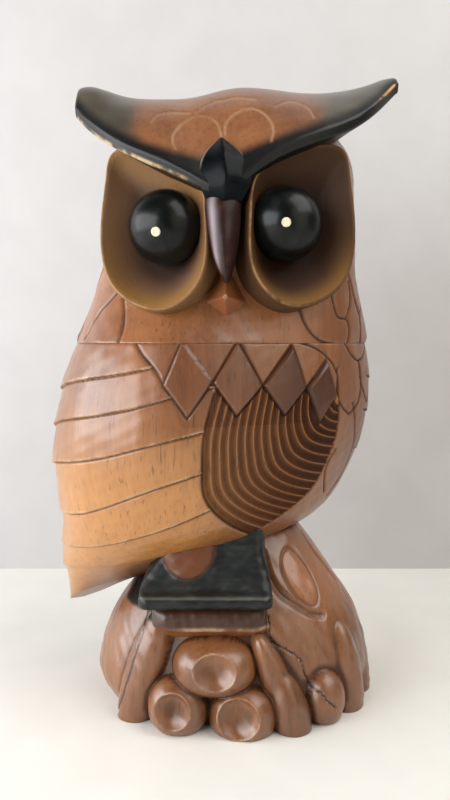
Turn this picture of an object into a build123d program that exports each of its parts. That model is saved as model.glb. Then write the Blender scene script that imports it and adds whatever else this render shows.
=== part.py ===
"""Carved wooden owl on a rock-and-root base, glued up from blocks and planks.

Millimetres, +Z up. The owl looks along -Y. The origin is the middle of the underside of the base.
The head is carved almost square to the base, the breast is turned to the owl's left, and the tail
and the folded wing run down to a low tip on the -X side.
"""

from build123d import *
import math
import os

# ---- driving dimensions -------------------------------------------------------------------
NECK_Z = 357.0  # flat glue joint between the head blocks and the body blocks
HEAD_PLANK_X = 98.0  # glue joints either side of the middle head block
BODY_PLANK_U = 105.0  # glue joints either side of the middle body block, across the breast
# Glue joints of the base: where each crosses the height of the perch, and how far it leans out
BASE_JOINT_Z = 102.0
BASE_JOINTS = ((-84.0, -0.31), (30.0, 0.60))
BODY_TURN = 22.0  # how far the breast is turned
BODY_MIDDLE_X = -20.0  # the middle of the middle body block
PLUMPNESS = 2.3  # exponent of every block section: 2 is an ellipse, more is squarer
SECTION_POINTS = 16

# Sections of the blocks: height, centre x, centre y, half width, half depth, turn
BODY = [
    (357, -11, 0, 149, 103, 22),
    (330, -14, -2, 156, 107, 22),
    (298, -18, -2, 160, 110, 22),
    (256, -26, 2, 159, 112, 22),
    (214, -35, 10, 149, 110, 22),
    (171, -57, 20, 125, 103, 22),
    (128, -118, 30, 68, 66, 22),
    (98, -156, 32, 27, 34, 22),
    (76, -174, 28, 7, 14, 22),
]
HEAD = [
    (357, -11, 0, 149, 103, 22),
    (385, -9, 1, 140, 97, 13),
    (420, -8, 4, 130, 91, 4),
    (458, -5, 6, 125, 88, -4),
    (510, -1, 7, 119, 86, -6),
    (548, 0, 8, 108, 80, -6),
    (572, 0, 8, 84, 66, -6),
]
MOUND = [
    (0, -2, 2, 125, 94, 0),
    (14, -3, 2, 135, 98, 0),
    (50, -2, 4, 137, 97, 0),
    (85, 0, 9, 124, 91, 0),
    (110, 1, 14, 106, 84, 0),
    (135, 2, 19, 88, 74, 0),
    (168, 4, 24, 61, 58, 0),
]
# The underside of the body is one sloping flat: z = UNDER_Z + UNDER_X * x + UNDER_Y * y
UNDER_Z, UNDER_X, UNDER_Y = 134.0, 0.232, -0.524

# Brow and ear tufts, from the tip of one tuft to the tip of the other:
# x, height of the lower edge, height of the top, y of the front edge, y of the back
BROW = [
    (-157, 577, 590, -48, -30),
    (-148, 564, 597, -58, -14),
    (-130, 544, 598, -76, 10),
    (-107, 526, 593, -96, 48),
    (-72, 507, 592, -112, 74),
    (-40, 491, 595, -120, 86),
    (-13, 480, 602, -124, 90),
    (16, 499, 604, -122, 90),
    (45, 517, 600, -117, 86),
    (75, 530, 597, -109, 76),
    (103, 544, 598, -95, 52),
    (126, 563, 602, -77, 18),
    (144, 583, 606, -58, -14),
    (154, 594, 604, -50, -32),
]
BROW_BAND = 9.0  # height of the narrow facet along the lower edge of the brow
CROWN_Y = -15.0  # the ridge of the crown
TUFT_FROM, TUFT_TO = 60.0, 120.0  # how far out the underside of the brow starts and ends to rise
BROW_KNOTS = (0.0, 0.28, 0.55, 0.80, 1.0)  # where the lip, brow, crown, nape and back lie along a slice

# Face discs: centre x, centre z, the way they turn out
DISCS = {"left": (-72.0, 450.0, -18.0), "right": (55.0, 453.0, 18.0)}
DISC_TILT = 7.0  # the top of each disc leans back under the brow
# Outline of the left disc about its centre; the right one is its mirror
DISC_OUTLINE = [
    (7, -65), (-31, -51), (-49, -22), (-52, 16), (-46, 55), (-26, 76), (28, 58), (46, 20), (48, -20), (37, -49),
]
DISC_FRONT_Y, DISC_BACK_Y = -104.0, -58.0
DISH_RADIUS, DISH_HALF_HEIGHT = 59.0, 82.0  # the hollow is part of a tall ball standing in front
DISH_OUT, DISH_UP = 33.0, 7.0
# Chin: a four-sided point between the discs
CHIN = [(-10, 424), (-33, 393), (-9, 375), (9, 393)]
CHIN_TIP_Y, CHIN_BACK_Y = -118.0, -82.0

# Boss between the brows: height, centre, half width, y of the ridge
BOSS = ((478, -12, 15, -127), (494, -11, 20, -131), (512, -13, 15, -126), (530, -15, 3, -111))
BOSS_BACK_Y = -84.0

# Eyes: a turned ball on a spigot, with a peg for the pupil. Centre and the way it looks.
EYES = {"left": ((-63.0, -91.0, 459.0), 11.0, 15.0), "right": ((42.0, -91.0, 462.0), 3.0, 7.0)}
EYE_RADIUS = 33.0
EYE_BACK = 20.0  # the ball is turned flat this far behind its centre
SPIGOT_RADIUS, SPIGOT_LENGTH = 9.0, 22.0
PUPIL_RADIUS, PUPIL_LENGTH, PUPIL_PROUD = 4.0, 14.0, 1.2

# Perch: the painted feet and the rock ledge under them, each a profile (y, z) carried across
PERCH_BACK_Y = -22.0
TALON_SPAN = (-91.0, 33.0)
TALON_PROFILE = [
    (PERCH_BACK_Y, 112), (-94, 112), (-98.5, 115), (-100, 119), (-98.5, 123), (-94, 126),
    (-86, 131), (-76, 150), (-64, 200), (PERCH_BACK_Y, 200),
]
LEDGE_SPAN = (-80.0, 29.0)
LEDGE_PROFILE = [
    (PERCH_BACK_Y, 112), (-86, 112), (-92, 106), (-94, 92), (-89, 88), (-70, 73), (PERCH_BACK_Y, 73),
]
TALON_END_RADIUS, LEDGE_END_RADIUS = 9.0, 16.0

# Chisel work of the body, as lines on the front view (x, z), cut this deep below the skin
CHISEL_DEPTH, CHISEL_WIDTH = 3.0, 3.0
BAND_LINES = [  # lower edges of the feather bands of the left wing
    [(-156, 320), (-141, 324), (-111, 329), (-83, 335)],
    [(-176, 281), (-147, 290), (-120, 295), (-60, 310)],
    [(-182, 241), (-150, 251), (-120, 257), (-84, 267), (-33, 280)],
    [(-182, 190), (-146, 200), (-86, 224), (-33, 243)],
    [(-178, 148), (-140, 163), (-97, 179), (-27, 207)],
]
DIAMOND_LINES = [  # the two zigzags that part the diamonds of the breast
    [
        (-49, 358), (-64, 321), (-44, 293), (-22, 323), (-1, 294),
        (23, 320), (43, 293), (63, 317), (76, 284), (93, 309),
    ],
    [(-49, 358), (-22, 323), (0, 358), (23, 320), (50, 358), (63, 317), (83, 341), (93, 309)],
]
DIAMOND_WIDTH = 4.5
PANEL_DEPTH = 2.5
PANEL = [  # outline of the sunk breast panel
    (-22, 321), (-27, 300), (-30, 274), (-31, 247), (-30, 221), (-25, 205), (-11, 187),
    (9, 174), (46, 197), (62, 208), (77, 222), (89, 250), (96, 270), (94, 305), (76, 281),
    (63, 313), (43, 289), (23, 316), (-1, 290),
]
RIB_LINES = [  # crests left standing in the panel
    [(0, 330), (-9, 272), (-9, 248), (-5, 222), (3, 208), (18, 194), (38, 185)],
    [(22, 330), (13, 272), (15, 250), (20, 232), (28, 219), (41, 210), (66, 203)],
    [(43, 330), (35, 272), (36, 254), (40, 240), (49, 230), (61, 224), (86, 220)],
    [(61, 330), (56, 275), (59, 262), (65, 252), (76, 246), (99, 243)],
]
RIB_WIDTH = 4.0
# Rows of neck feathers at the back of the head: height of their feet, x of the points between them
NECK_ROW_DEPTH = 2.0
NECK_ROWS = [
    (401, (-98, -60, -20, 20, 60, 98)),
    (445, (-81, -38, 0, 38, 81)),
    (489, (-98, -60, -20, 20, 60, 98)),
]
NECK_FEATHER_RISE = 27.0

# Lumps of the rock: middle, radius in plan, half height, lean to the side
LUMPS = [
    ((-20, -80, 57), 40, 27, 0),  # the three gouged boulders
    ((-54, -89, 21), 29, 28, 0),
    ((6, -90, 15), 33, 28, 0),
    ((-83, -74, 46), 20, 57, 8),  # root beside the left joint
    ((-91, -72, 16), 23, 25, 0),
    ((36, -93, 46), 14, 58, -22),  # root at the right of the boulders
    ((53, -97, 14), 19, 24, 0),
    ((82, -76, 20), 22, 28, 0),  # knob
    ((105, -52, 26), 21, 50, 0),
    ((118, -16, 26), 21, 56, 0),
    ((122, 20, 24), 20, 34, 0),
    ((106, 58, 26), 24, 38, 0),
    ((70, 80, 24), 27, 34, 0),
    ((24, 90, 28), 25, 40, 0),
    ((-24, 92, 24), 23, 34, 0),
    ((-70, 78, 28), 27, 38, 0),
    ((-108, 48, 24), 27, 34, 0),
]
# Hollows of a round gouge in the three boulders: middle, radius
GOUGES = [
    ((-21, -138, 68), 30),
    ((-62, -131, 27), 25),
    ((-2, -135, 23), 27),
]

ACROSS = (math.cos(math.radians(BODY_TURN)), math.sin(math.radians(BODY_TURN)), 0)


def joint_x(side, z):
    """Where a glue joint of the base stands at a height."""
    x, lean = BASE_JOINTS[side]
    return x - lean * (z - BASE_JOINT_Z)


# Hidden dowels across the glue joints: the blocks they pin, then for each dowel its middle point,
# direction, radius and length
DOWELS = {
    "neck_dowels": (
        ("head_block", "torso_block"),
        [((x, 5, NECK_Z), (0, 0, 1), 9, 70) for x in (-65, 45)],
    ),
    "leg_dowels": (
        ("torso_block", "talon_perch", "base_core"),
        [((x, -44, 142), (0, 0, 1), 8, 96) for x in (-56, 2)],
    ),
    "base_dowels": (
        ("base_left_plank", "base_core", "base_right_plank"),
        [
            ((joint_x(side, 40), y, 40), (1, 0, BASE_JOINTS[side][1]), 6, length)
            for side, y, length in ((0, -28, 40), (0, 32, 40), (1, -36, 50), (1, 44, 50))
        ],
    ),
    "head_plank_dowels": (
        ("left_tuft_plank", "head_block", "right_tuft_plank"),
        [((side * HEAD_PLANK_X, 10, z), (1, 0, 0), 5, 28) for side in (-1, 1) for z in (405, 480)],
    ),
    "wing_plank_dowels": (
        ("left_wing_plank", "torso_block", "right_wing_plank"),
        [
            ((BODY_MIDDLE_X + u * ACROSS[0], u * ACROSS[1], z), ACROSS, 6, 44)
            for u in (-BODY_PLANK_U, BODY_PLANK_U)
            for z in (238, 316)
        ],
    ),
}


# ---- shape helpers ------------------------------------------------------------------------
def smooth_ring(points):
    """A closed spline with evenly spaced knots, so that a skin through several stays light."""
    count = len(points)
    return Edge.make_spline(points, periodic=True, parameters=[k / count for k in range(count + 1)])


def ring(z, cx, cy, half_width, half_depth, turn):
    """A closed, rounded section: a superellipse turned about the vertical, by its radius each way."""
    points = []
    for k in range(SECTION_POINTS):
        angle = 2 * math.pi * k / SECTION_POINTS
        c, s = math.cos(angle - math.radians(turn)), math.sin(angle - math.radians(turn))
        reach = (abs(c / half_width) ** PLUMPNESS + abs(s / half_depth) ** PLUMPNESS) ** (-1 / PLUMPNESS)
        points.append(Vector(cx + reach * math.cos(angle), cy + reach * math.sin(angle), z))
    return Face(Wire([smooth_ring(points)]))


def block(sections):
    """A block carved round: the smooth skin through its sections."""
    return loft([ring(*s) for s in sorted(sections)])


def lump(middle, radius, half_height, lean=0.0):
    """A ball drawn out along its height: a boulder or root of the carving, or a dished hollow."""
    arc = Edge.make_ellipse(radius, half_height, start_angle=-90, end_angle=90)
    half = Face(Wire([arc, Edge.make_line((0, half_height), (0, -half_height))]))
    ball = revolve(Plane.XZ * half, Axis.Z)
    return Pos(*middle) * Rot(0, lean, 0) * ball


def one(shape):
    """The shape as one plain solid."""
    solids = sorted(shape.solids(), key=lambda s: s.volume, reverse=True)
    return solids[0]


def below(shape, plane):
    """The part of the shape on the plane's lower side."""
    return split(shape, bisect_by=plane, keep=Keep.BOTTOM)


def above(shape, plane):
    """The part of the shape on the plane's upper side."""
    return split(shape, bisect_by=plane, keep=Keep.TOP)


def sawn(shape, low_plane, high_plane):
    """Three planks: below the low plane, between the two, above the high plane."""
    low = one(below(shape, low_plane))
    high = one(above(shape, high_plane))
    middle = one(below(above(shape, low_plane), high_plane))
    return low, middle, high


def shrunk(sections, by):
    """The same sections drawn in on every side."""
    return [(z, cx, cy, w - by, d - by, turn) for z, cx, cy, w, d, turn in sections]


def strip(line, width, side, straight=False):
    """A line on the front view, given a width and carried level to the front (-1) or back (1)."""
    points = [Vector(x, 5 * side, z) for x, z in line]
    sides = []
    for offset in (-width / 2, width / 2):
        edge = []
        for k, point in enumerate(points):
            run = (points[min(k + 1, len(points) - 1)] - points[max(k - 1, 0)]).normalized()
            edge.append(point + Vector(-run.Z, 0, run.X) * offset)
        sides.append(edge)
    if straight:
        outline = Wire.make_polygon([*sides[0], *reversed(sides[1])])
    else:
        first, second = (Edge.make_spline(edge) for edge in sides)
        ends = [Edge.make_line(first @ 1, second @ 1), Edge.make_line(second @ 0, first @ 0)]
        outline = Wire([first, ends[0], second, ends[1]])
    return extrude(Face(outline), amount=300, dir=(0, side, 0))


def carve_breast(body):
    """Cuts the feather bands, the diamonds and the sunk panel with its standing ribs."""
    core = block(shrunk(BODY, CHISEL_DEPTH))
    for line in BAND_LINES:
        body -= strip(line, CHISEL_WIDTH, -1) - core
    for line in DIAMOND_LINES:
        body -= strip(line, DIAMOND_WIDTH, -1, straight=True) - core
    outline = Face(Wire.make_polygon([Vector(x, -5, z) for x, z in PANEL]))
    panel = extrude(outline, amount=300, dir=(0, -1, 0)) - block(shrunk(BODY, PANEL_DEPTH))
    for line in RIB_LINES:
        panel -= strip(line, RIB_WIDTH, -1)
    return body - panel


def carve_neck(head):
    """Cuts rows of pointed-topped, round-footed feathers across the back of the head."""
    core = block(shrunk(HEAD, NECK_ROW_DEPTH))
    for foot, tips in NECK_ROWS:
        line = []
        for start, end in zip(tips[:-1], tips[1:]):
            line += [(start, foot + NECK_FEATHER_RISE)]
            line += [(start + share * (end - start), foot + 4) for share in (0.3, 0.7)]
        line += [(tips[-1], foot + NECK_FEATHER_RISE)]
        head -= strip(line, CHISEL_WIDTH, 1, straight=True) - core
    return head


# ---- body: a middle block and two wing planks -----------------------------------------------
def make_body():
    """The body before it is sawn, and the planes of its glue joints."""
    planes = []
    for side in (-1, 1):
        reach = side * BODY_PLANK_U
        origin = (BODY_MIDDLE_X + reach * ACROSS[0], reach * ACROSS[1], 0)
        planes.append(Plane(origin=origin, z_dir=ACROSS))
    under = Plane(origin=(0, 0, UNDER_Z), z_dir=(-UNDER_X, -UNDER_Y, 1))
    return above(block(BODY), under), planes


# ---- head -----------------------------------------------------------------------------------
def brow_section(x, edge_z, top_z, front_y, back_y):
    """One slice of the brow: front facet, forehead over the crown to the back, and underside."""
    rise = top_z - edge_z
    band = min(BROW_BAND, 0.45 * rise)
    crown_y = max(front_y + 0.35 * (back_y - front_y), min(CROWN_Y, 0.5 * (front_y + back_y)))
    tuft = min(1.0, max(0.0, (abs(x) - TUFT_FROM) / (TUFT_TO - TUFT_FROM)))
    edge = (x, front_y + 3, edge_z)
    lip = (x, front_y, edge_z + band)
    brow = (x, front_y + 0.42 * (crown_y - front_y), edge_z + band + 0.64 * (rise - band))
    crown = (x, crown_y, top_z)
    nape = (x, crown_y + 0.62 * (back_y - crown_y), top_z - 0.12 * rise)
    back = (x, back_y, top_z - (0.55 - 0.23 * tuft) * rise)
    heel = (x, back_y - 0.15 * (back_y - front_y), edge_z + (0.12 + 0.42 * tuft) * rise)
    over = Edge.make_spline([Vector(*p) for p in (lip, brow, crown, nape, back)], parameters=BROW_KNOTS)
    return Face(
        Wire([Edge.make_line(edge, lip), over, Edge.make_line(back, heel), Edge.make_line(heel, edge)])
    )


def disc_seat(x, z, turn):
    """Where a face disc stands: its middle on the front of the face, turned out and leaned back."""
    return Pos(x, DISC_FRONT_Y, z) * Rot(0, 0, turn) * Rot(-DISC_TILT, 0, 0)


def disc_pad(x, z, turn, mirror):
    """The flat-fronted swelling that one face disc is cut into."""
    points = [Vector(mirror * px, pz) for px, pz in DISC_OUTLINE]
    outline = Face(Wire([smooth_ring(points)]))
    pad = extrude(outline, DISC_BACK_Y - DISC_FRONT_Y, dir=(0, 0, 1))
    return disc_seat(x, z, turn) * Pos(0, DISC_BACK_Y - DISC_FRONT_Y, 0) * Rot(90, 0, 0) * pad


def make_chin():
    """A point with four flat sides."""
    middle = Vector(sum(p[0] for p in CHIN) / 4, sum(p[1] for p in CHIN) / 4)
    rings = []
    for y, size in ((CHIN_BACK_Y, 1.25), (CHIN_TIP_Y, 0.12)):
        ring_points = [middle + (Vector(*p) - middle) * size for p in CHIN]
        rings.append(Face(Wire.make_polygon([Vector(p.X, y, p.Y) for p in ring_points])))
    return loft(rings, ruled=True)


def make_head_blank():
    """The head before it is sawn: block, face discs, chin and the brow with its tufts."""
    head = carve_neck(block(HEAD))
    for side, (x, z, turn) in DISCS.items():
        head += disc_pad(x, z, turn, 1 if side == "left" else -1)
    head += make_chin()
    for x, z, turn in DISCS.values():
        head -= disc_seat(x, z, turn) * lump((0, -DISH_OUT, DISH_UP), DISH_RADIUS, DISH_HALF_HEIGHT)
    head += loft([brow_section(*s) for s in BROW])
    return above(head, Plane(origin=(0, 0, NECK_Z), z_dir=(0, 0, 1)))


def make_eye(centre, left_by, down_by):
    """A ball with a flat back and a spigot, and the peg let into its front."""
    place = Pos(*centre) * Rot(0, 0, -left_by) * Rot(90 + down_by, 0, 0)
    ball = Sphere(EYE_RADIUS) & Pos(0, 0, EYE_RADIUS - EYE_BACK) * Box(80, 80, 2 * EYE_RADIUS)
    ball += Pos(0, 0, -EYE_BACK - SPIGOT_LENGTH / 2) * Cylinder(SPIGOT_RADIUS, SPIGOT_LENGTH)
    base = EYE_RADIUS + PUPIL_PROUD - PUPIL_LENGTH
    peg = Pos(0, 0, base + PUPIL_LENGTH / 2) * Cylinder(PUPIL_RADIUS, PUPIL_LENGTH)
    peg = chamfer(peg.edges().sort_by(Axis.Z)[-1], 0.6)
    return place * (ball - peg), place * peg


def make_beak():
    """A hooked beak, lofted down from its root between the eyes to the tip."""
    stations = [
        (478, -14, -108, 17, 15),
        (462, -13, -111, 15.5, 17),
        (442, -12, -114, 12.5, 18),
        (424, -11, -117, 8.5, 14),
        (409, -10, -121, 3.0, 5),
    ]
    return loft([ring(z, x, y, w, d, 0) for z, x, y, w, d in reversed(stations)])


def make_boss():
    """The leaf-shaped boss between the brows, with a sharp ridge down its middle."""
    sections = []
    for z, x, half_width, ridge_y in BOSS:
        back_y = BOSS_BACK_Y
        outline = [(x - half_width, ridge_y + 12), (x, ridge_y), (x + half_width, ridge_y + 12), (x, back_y)]
        sections.append(Face(Wire.make_polygon([Vector(px, py, z) for px, py in outline])))
    return loft(sections, ruled=True)


# ---- perch and base -------------------------------------------------------------------------
def profile_block(profile, low_x, high_x, end_radius):
    """A profile drawn on the YZ plane and carried across the base, its ends rounded in plan."""
    outline = Face(Wire.make_polygon([Vector(low_x, y, z) for y, z in profile]))
    bar = extrude(outline, amount=high_x - low_x, dir=(1, 0, 0))
    low_y = min(p[0] for p in profile)
    plan = RectangleRounded(high_x - low_x, 2 * (PERCH_BACK_Y - low_y), end_radius)
    return bar & Pos((low_x + high_x) / 2, PERCH_BACK_Y, 0) * extrude(plan, 300)


def make_talons():
    """The painted feet: a bull-nosed bar that rises in a slope under the body."""
    return profile_block(TALON_PROFILE, *TALON_SPAN, TALON_END_RADIUS)


def make_base_blank(body, talons):
    """The carved rock: mound seated against bird and feet, ledge, boulders with gouges, roots."""
    rock = block(MOUND) - talons - body
    rock += [profile_block(LEDGE_PROFILE, *LEDGE_SPAN, LEDGE_END_RADIUS)] + [lump(*spec) for spec in LUMPS]
    rock -= [Pos(*middle) * Sphere(radius) for middle, radius in GOUGES]
    return above(rock, Plane(origin=(0, 0, 0), z_dir=(0, 0, 1)))


def dowel(middle, direction, radius, length):
    """A round dowel centred on a glue joint."""
    return Plane(origin=middle, z_dir=direction) * Cylinder(radius, length)


# ---- assembly -------------------------------------------------------------------------------
parts = {}
body, body_planes = make_body()
carved = carve_breast(body)
parts["left_wing_plank"], parts["torso_block"], parts["right_wing_plank"] = sawn(carved, *body_planes)

blank = make_head_blank()
beak, boss = make_beak(), make_boss()
for side, (centre, left_by, down_by) in EYES.items():
    parts[f"{side}_eye"], parts[f"{side}_pupil_peg"] = (one(s) for s in make_eye(centre, left_by, down_by))
    blank -= parts[f"{side}_eye"]
parts["brow_boss"] = one(boss)
parts["beak"] = one(beak - boss)
blank = blank - boss - beak
head_planes = [Plane(origin=(side * HEAD_PLANK_X, 0, 0), z_dir=(1, 0, 0)) for side in (-1, 1)]
parts["left_tuft_plank"], parts["head_block"], parts["right_tuft_plank"] = sawn(blank, *head_planes)

talons = make_talons() - body
parts["talon_perch"] = one(talons)
rock = make_base_blank(body, talons)
base_planes = [
    Plane(origin=(x, 0, BASE_JOINT_Z), z_dir=(1, 0, lean)) for x, lean in BASE_JOINTS
]
parts["base_left_plank"], parts["base_core"], parts["base_right_plank"] = sawn(rock, *base_planes)

for name, (pinned, places) in DOWELS.items():
    dowels = [dowel(*place) for place in places]
    for block_name in pinned:
        parts[block_name] = one(parts[block_name] - dowels)
    parts[name] = Compound(dowels)

os.makedirs("parts", exist_ok=True)
for name, shape in parts.items():
    export_step(shape, f"parts/{name}.step")
    print(name, round(shape.volume), shape.bounding_box().size, shape.is_valid)
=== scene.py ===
"""A carved wooden owl on a rock base: its carving, stain, paint and lacquer over glued-up blocks.

Shapes are worked out in millimetres and turn into metres as they enter a mesh. +Z is up and the
owl looks along -Y. A height map wraps each block: its reach from an upright axis is a function of
the bearing round the axis and the height, and every groove, rib and feather edge is cut into it.
Left and right are as seen from the front, so right is +X.
"""

from __future__ import annotations

import logging
import math
from dataclasses import dataclass, field
from enum import Enum

import bmesh
import bpy
import numpy as np
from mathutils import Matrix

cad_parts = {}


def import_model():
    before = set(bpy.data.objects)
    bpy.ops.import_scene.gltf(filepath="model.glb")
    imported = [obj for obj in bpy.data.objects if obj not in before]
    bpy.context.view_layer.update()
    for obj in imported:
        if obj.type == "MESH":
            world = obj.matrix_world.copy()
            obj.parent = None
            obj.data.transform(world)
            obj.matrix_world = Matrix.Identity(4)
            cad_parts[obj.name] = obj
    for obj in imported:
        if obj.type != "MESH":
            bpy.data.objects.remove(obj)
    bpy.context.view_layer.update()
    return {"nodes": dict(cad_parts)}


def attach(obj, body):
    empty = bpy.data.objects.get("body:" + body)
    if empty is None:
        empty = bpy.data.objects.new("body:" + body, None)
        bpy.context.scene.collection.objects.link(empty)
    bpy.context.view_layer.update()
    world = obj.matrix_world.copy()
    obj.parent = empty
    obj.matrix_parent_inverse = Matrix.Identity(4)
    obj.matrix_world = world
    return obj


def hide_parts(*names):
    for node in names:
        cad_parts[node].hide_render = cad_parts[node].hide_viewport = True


LOG = logging.getLogger("owl")
MM = 0.001
SAW_GRIP = 5e-5  # a point this near to a saw cut, in metres, counts as on it
Array = np.ndarray
Point = tuple[float, float]
Line = tuple[Point, ...]
Triple = tuple[float, float, float]


# ---- curves and fields ----------------------------------------------------------------------
def natural_spline(knots: Array, values: Array, at: Array) -> Array:
    """Smooth curve through values: the natural cubic spline, with no bending at either end.

    Args:
        knots: rising places of the values, shape (n,).
        values: what the curve passes through, shape (n,) or (n, k).
        at: where to read the curve, any shape; held at the first and last knot.

    Returns:
        The curve at each place, shape at.shape or at.shape + (k,).
    """
    knots = np.asarray(knots, float)
    values = np.asarray(values, float)
    gap = np.diff(knots)
    count = len(knots)
    system = np.zeros((count, count))
    system[0, 0] = system[-1, -1] = 1.0
    inner = np.arange(1, count - 1)
    system[inner, inner - 1] = gap[:-1]
    system[inner, inner] = 2 * (gap[:-1] + gap[1:])
    system[inner, inner + 1] = gap[1:]
    slope = np.diff(values, axis=0) / gap.reshape((-1,) + (1,) * (values.ndim - 1))
    load = np.zeros_like(values)
    load[1:-1] = 6 * np.diff(slope, axis=0)
    bend = np.linalg.solve(system, load)
    place = np.clip(np.asarray(at, float), knots[0], knots[-1])
    index = np.clip(np.searchsorted(knots, place) - 1, 0, count - 2)
    step = gap[index]
    after = (place - knots[index]) / step
    before = 1 - after
    if values.ndim > 1:
        step, after, before = step[..., None], after[..., None], before[..., None]
    lift = ((before**3 - before) * bend[index] + (after**3 - after) * bend[index + 1]) * step**2 / 6
    return before * values[index] + after * values[index + 1] + lift


def smooth_line(points: list[tuple[float, ...]], count: int = 60) -> Array:
    """A smooth open line through points, spaced by the straight distance between them.

    Args:
        points: two or more points of any dimension.
        count: how many points the line is drawn with.

    Returns:
        The line, shape (count, dimension).
    """
    given = np.array(points, float)
    along = np.concatenate([[0], np.cumsum(np.linalg.norm(np.diff(given, axis=0), axis=1))])
    if len(given) == 2:
        share = np.linspace(0, 1, count)[:, None]
        return given[0] * (1 - share) + given[1] * share
    return natural_spline(along, given, np.linspace(0, along[-1], count))


def closed_line(points: list[Point], count: int) -> Array:
    """A smooth closed loop through points: the line drawn round three times, its middle turn kept.

    Args:
        points: points of the loop in order, the first not repeated.
        count: how many points the loop is drawn with.

    Returns:
        The loop, shape (count, 2), without its first point again at the end.
    """
    given = np.array(points * 3 + points[:1], float)
    total = len(points)
    at = total + np.arange(count) * total / count
    return natural_spline(np.arange(len(given)), given, at)


def signed_distance(line: Array, across: Array, up: Array) -> Array:
    """Distance of each place from a line, positive to the left of the way it runs.

    Args:
        line: points of the line, shape (n, 2).
        across: first coordinate of each place.
        up: second coordinate of each place.

    Returns:
        The distance to the nearest stretch of the line, with the sign of its side.
    """
    best = np.full(across.shape, np.inf)
    side = np.ones(across.shape)
    for start, end in zip(line[:-1], line[1:]):
        run = end - start
        length = float(run @ run)
        if length == 0:
            continue
        from_a, from_b = across - start[0], up - start[1]
        share = np.clip((from_a * run[0] + from_b * run[1]) / length, 0, 1)
        off_a, off_b = from_a - share * run[0], from_b - share * run[1]
        gap = off_a**2 + off_b**2
        nearer = gap < best
        best = np.where(nearer, gap, best)
        side = np.where(nearer, np.where(run[0] * from_b - run[1] * from_a >= 0, 1.0, -1.0), side)
    return side * np.sqrt(best)


def inside(outline: Array, across: Array, up: Array) -> Array:
    """Whether each place is inside an outline: a ray from it crosses the outline an odd number of times.

    Args:
        outline: corners in order, the first not repeated, shape (n, 2).
        across: first coordinate of each place.
        up: second coordinate of each place.

    Returns:
        True at the places inside.
    """
    result = np.zeros(across.shape, bool)
    for start, end in zip(outline, np.roll(outline, -1, axis=0)):
        if start[1] == end[1]:
            continue
        crosses = (start[1] > up) != (end[1] > up)
        where = start[0] + (up - start[1]) * (end[0] - start[0]) / (end[1] - start[1])
        result ^= crosses & (across < where)
    return result


def smooth_step(low: float, high: float, value: Array) -> Array:
    """0 below low, 1 above high, and the cubic 3t^2 - 2t^3 between them."""
    share = np.clip((value - low) / (high - low), 0, 1)
    return share * share * (3 - 2 * share)


def soft_max(first: Array, second: Array, blend: float) -> Array:
    """The larger of two values, with the corner between them filled: max + n^2 * blend / 4.

    Args:
        first: one value.
        second: the other value.
        blend: the difference at which the filling, n in the formula, falls from 1 to 0.

    Returns:
        The larger value, or more than it near the corner.
    """
    near = np.clip(1 - np.abs(first - second) / blend, 0, 1)
    return np.maximum(first, second) + near * near * blend / 4


def dent(distance: Array, half_width: float) -> Array:
    """Shape of one chisel cut: 1 on its line and 0 past its half width, with a rounded floor."""
    share = np.clip(1 - np.abs(distance) / half_width, 0, 1)
    return share * share * (3 - 2 * share)


def ripple(first: Array, second: Array, size: float, seed: int) -> Array:
    """Gentle unevenness of hand work: a few plane waves of chosen bearings added together.

    Args:
        first: one coordinate of each place, in mm.
        second: the other coordinate.
        size: length of the longest wave, in mm.
        seed: picks the bearings and phases.

    Returns:
        A value about -1 to 1 at each place.
    """
    draw = np.random.default_rng(seed)
    total = np.zeros(np.broadcast(first, second).shape)
    for part in range(6):
        bearing, phase = draw.uniform(0, math.pi), draw.uniform(0, 2 * math.pi)
        wave = 2 * math.pi / (size * 0.78**part)
        total = total + np.sin(wave * (np.cos(bearing) * first + np.sin(bearing) * second) + phase)
    return total / 3.2


# ---- sections -------------------------------------------------------------------------------
@dataclass(frozen=True)
class Sections:
    """Rounded sections of a block, one above another.

    A section reaches (|cos(a-t)/w|^p + |sin(a-t)/d|^p)^(-1/p) from its middle at the bearing a,
    where w and d are its half width and half depth and t is its turn. Between two sections each
    size follows a natural spline over the height.
    """

    rows: tuple[tuple[float, float, float, float, float, float], ...]
    plumpness: float = 2.3

    def sizes(self, height: Array) -> tuple[Array, ...]:
        """Middle x, middle y, half width, half depth and turn at each height."""
        table = np.array(sorted(self.rows), float)
        found = natural_spline(table[:, 0], table[:, 1:], height)
        return tuple(found[..., k] for k in range(5))

    def reach(self, bearing: Array, height: Array) -> Array:
        """Distance from the axis to the skin of the block.

        Args:
            bearing: bearing of each place, radians.
            height: its height, mm.

        Returns:
            The reach in mm, by the formula of the class.
        """
        _x, _y, width, depth, turn = self.sizes(height)
        angle = bearing - np.radians(turn)
        power = self.plumpness
        total = np.abs(np.cos(angle) / width) ** power + np.abs(np.sin(angle) / depth) ** power
        return total ** (-1 / power)


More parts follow.
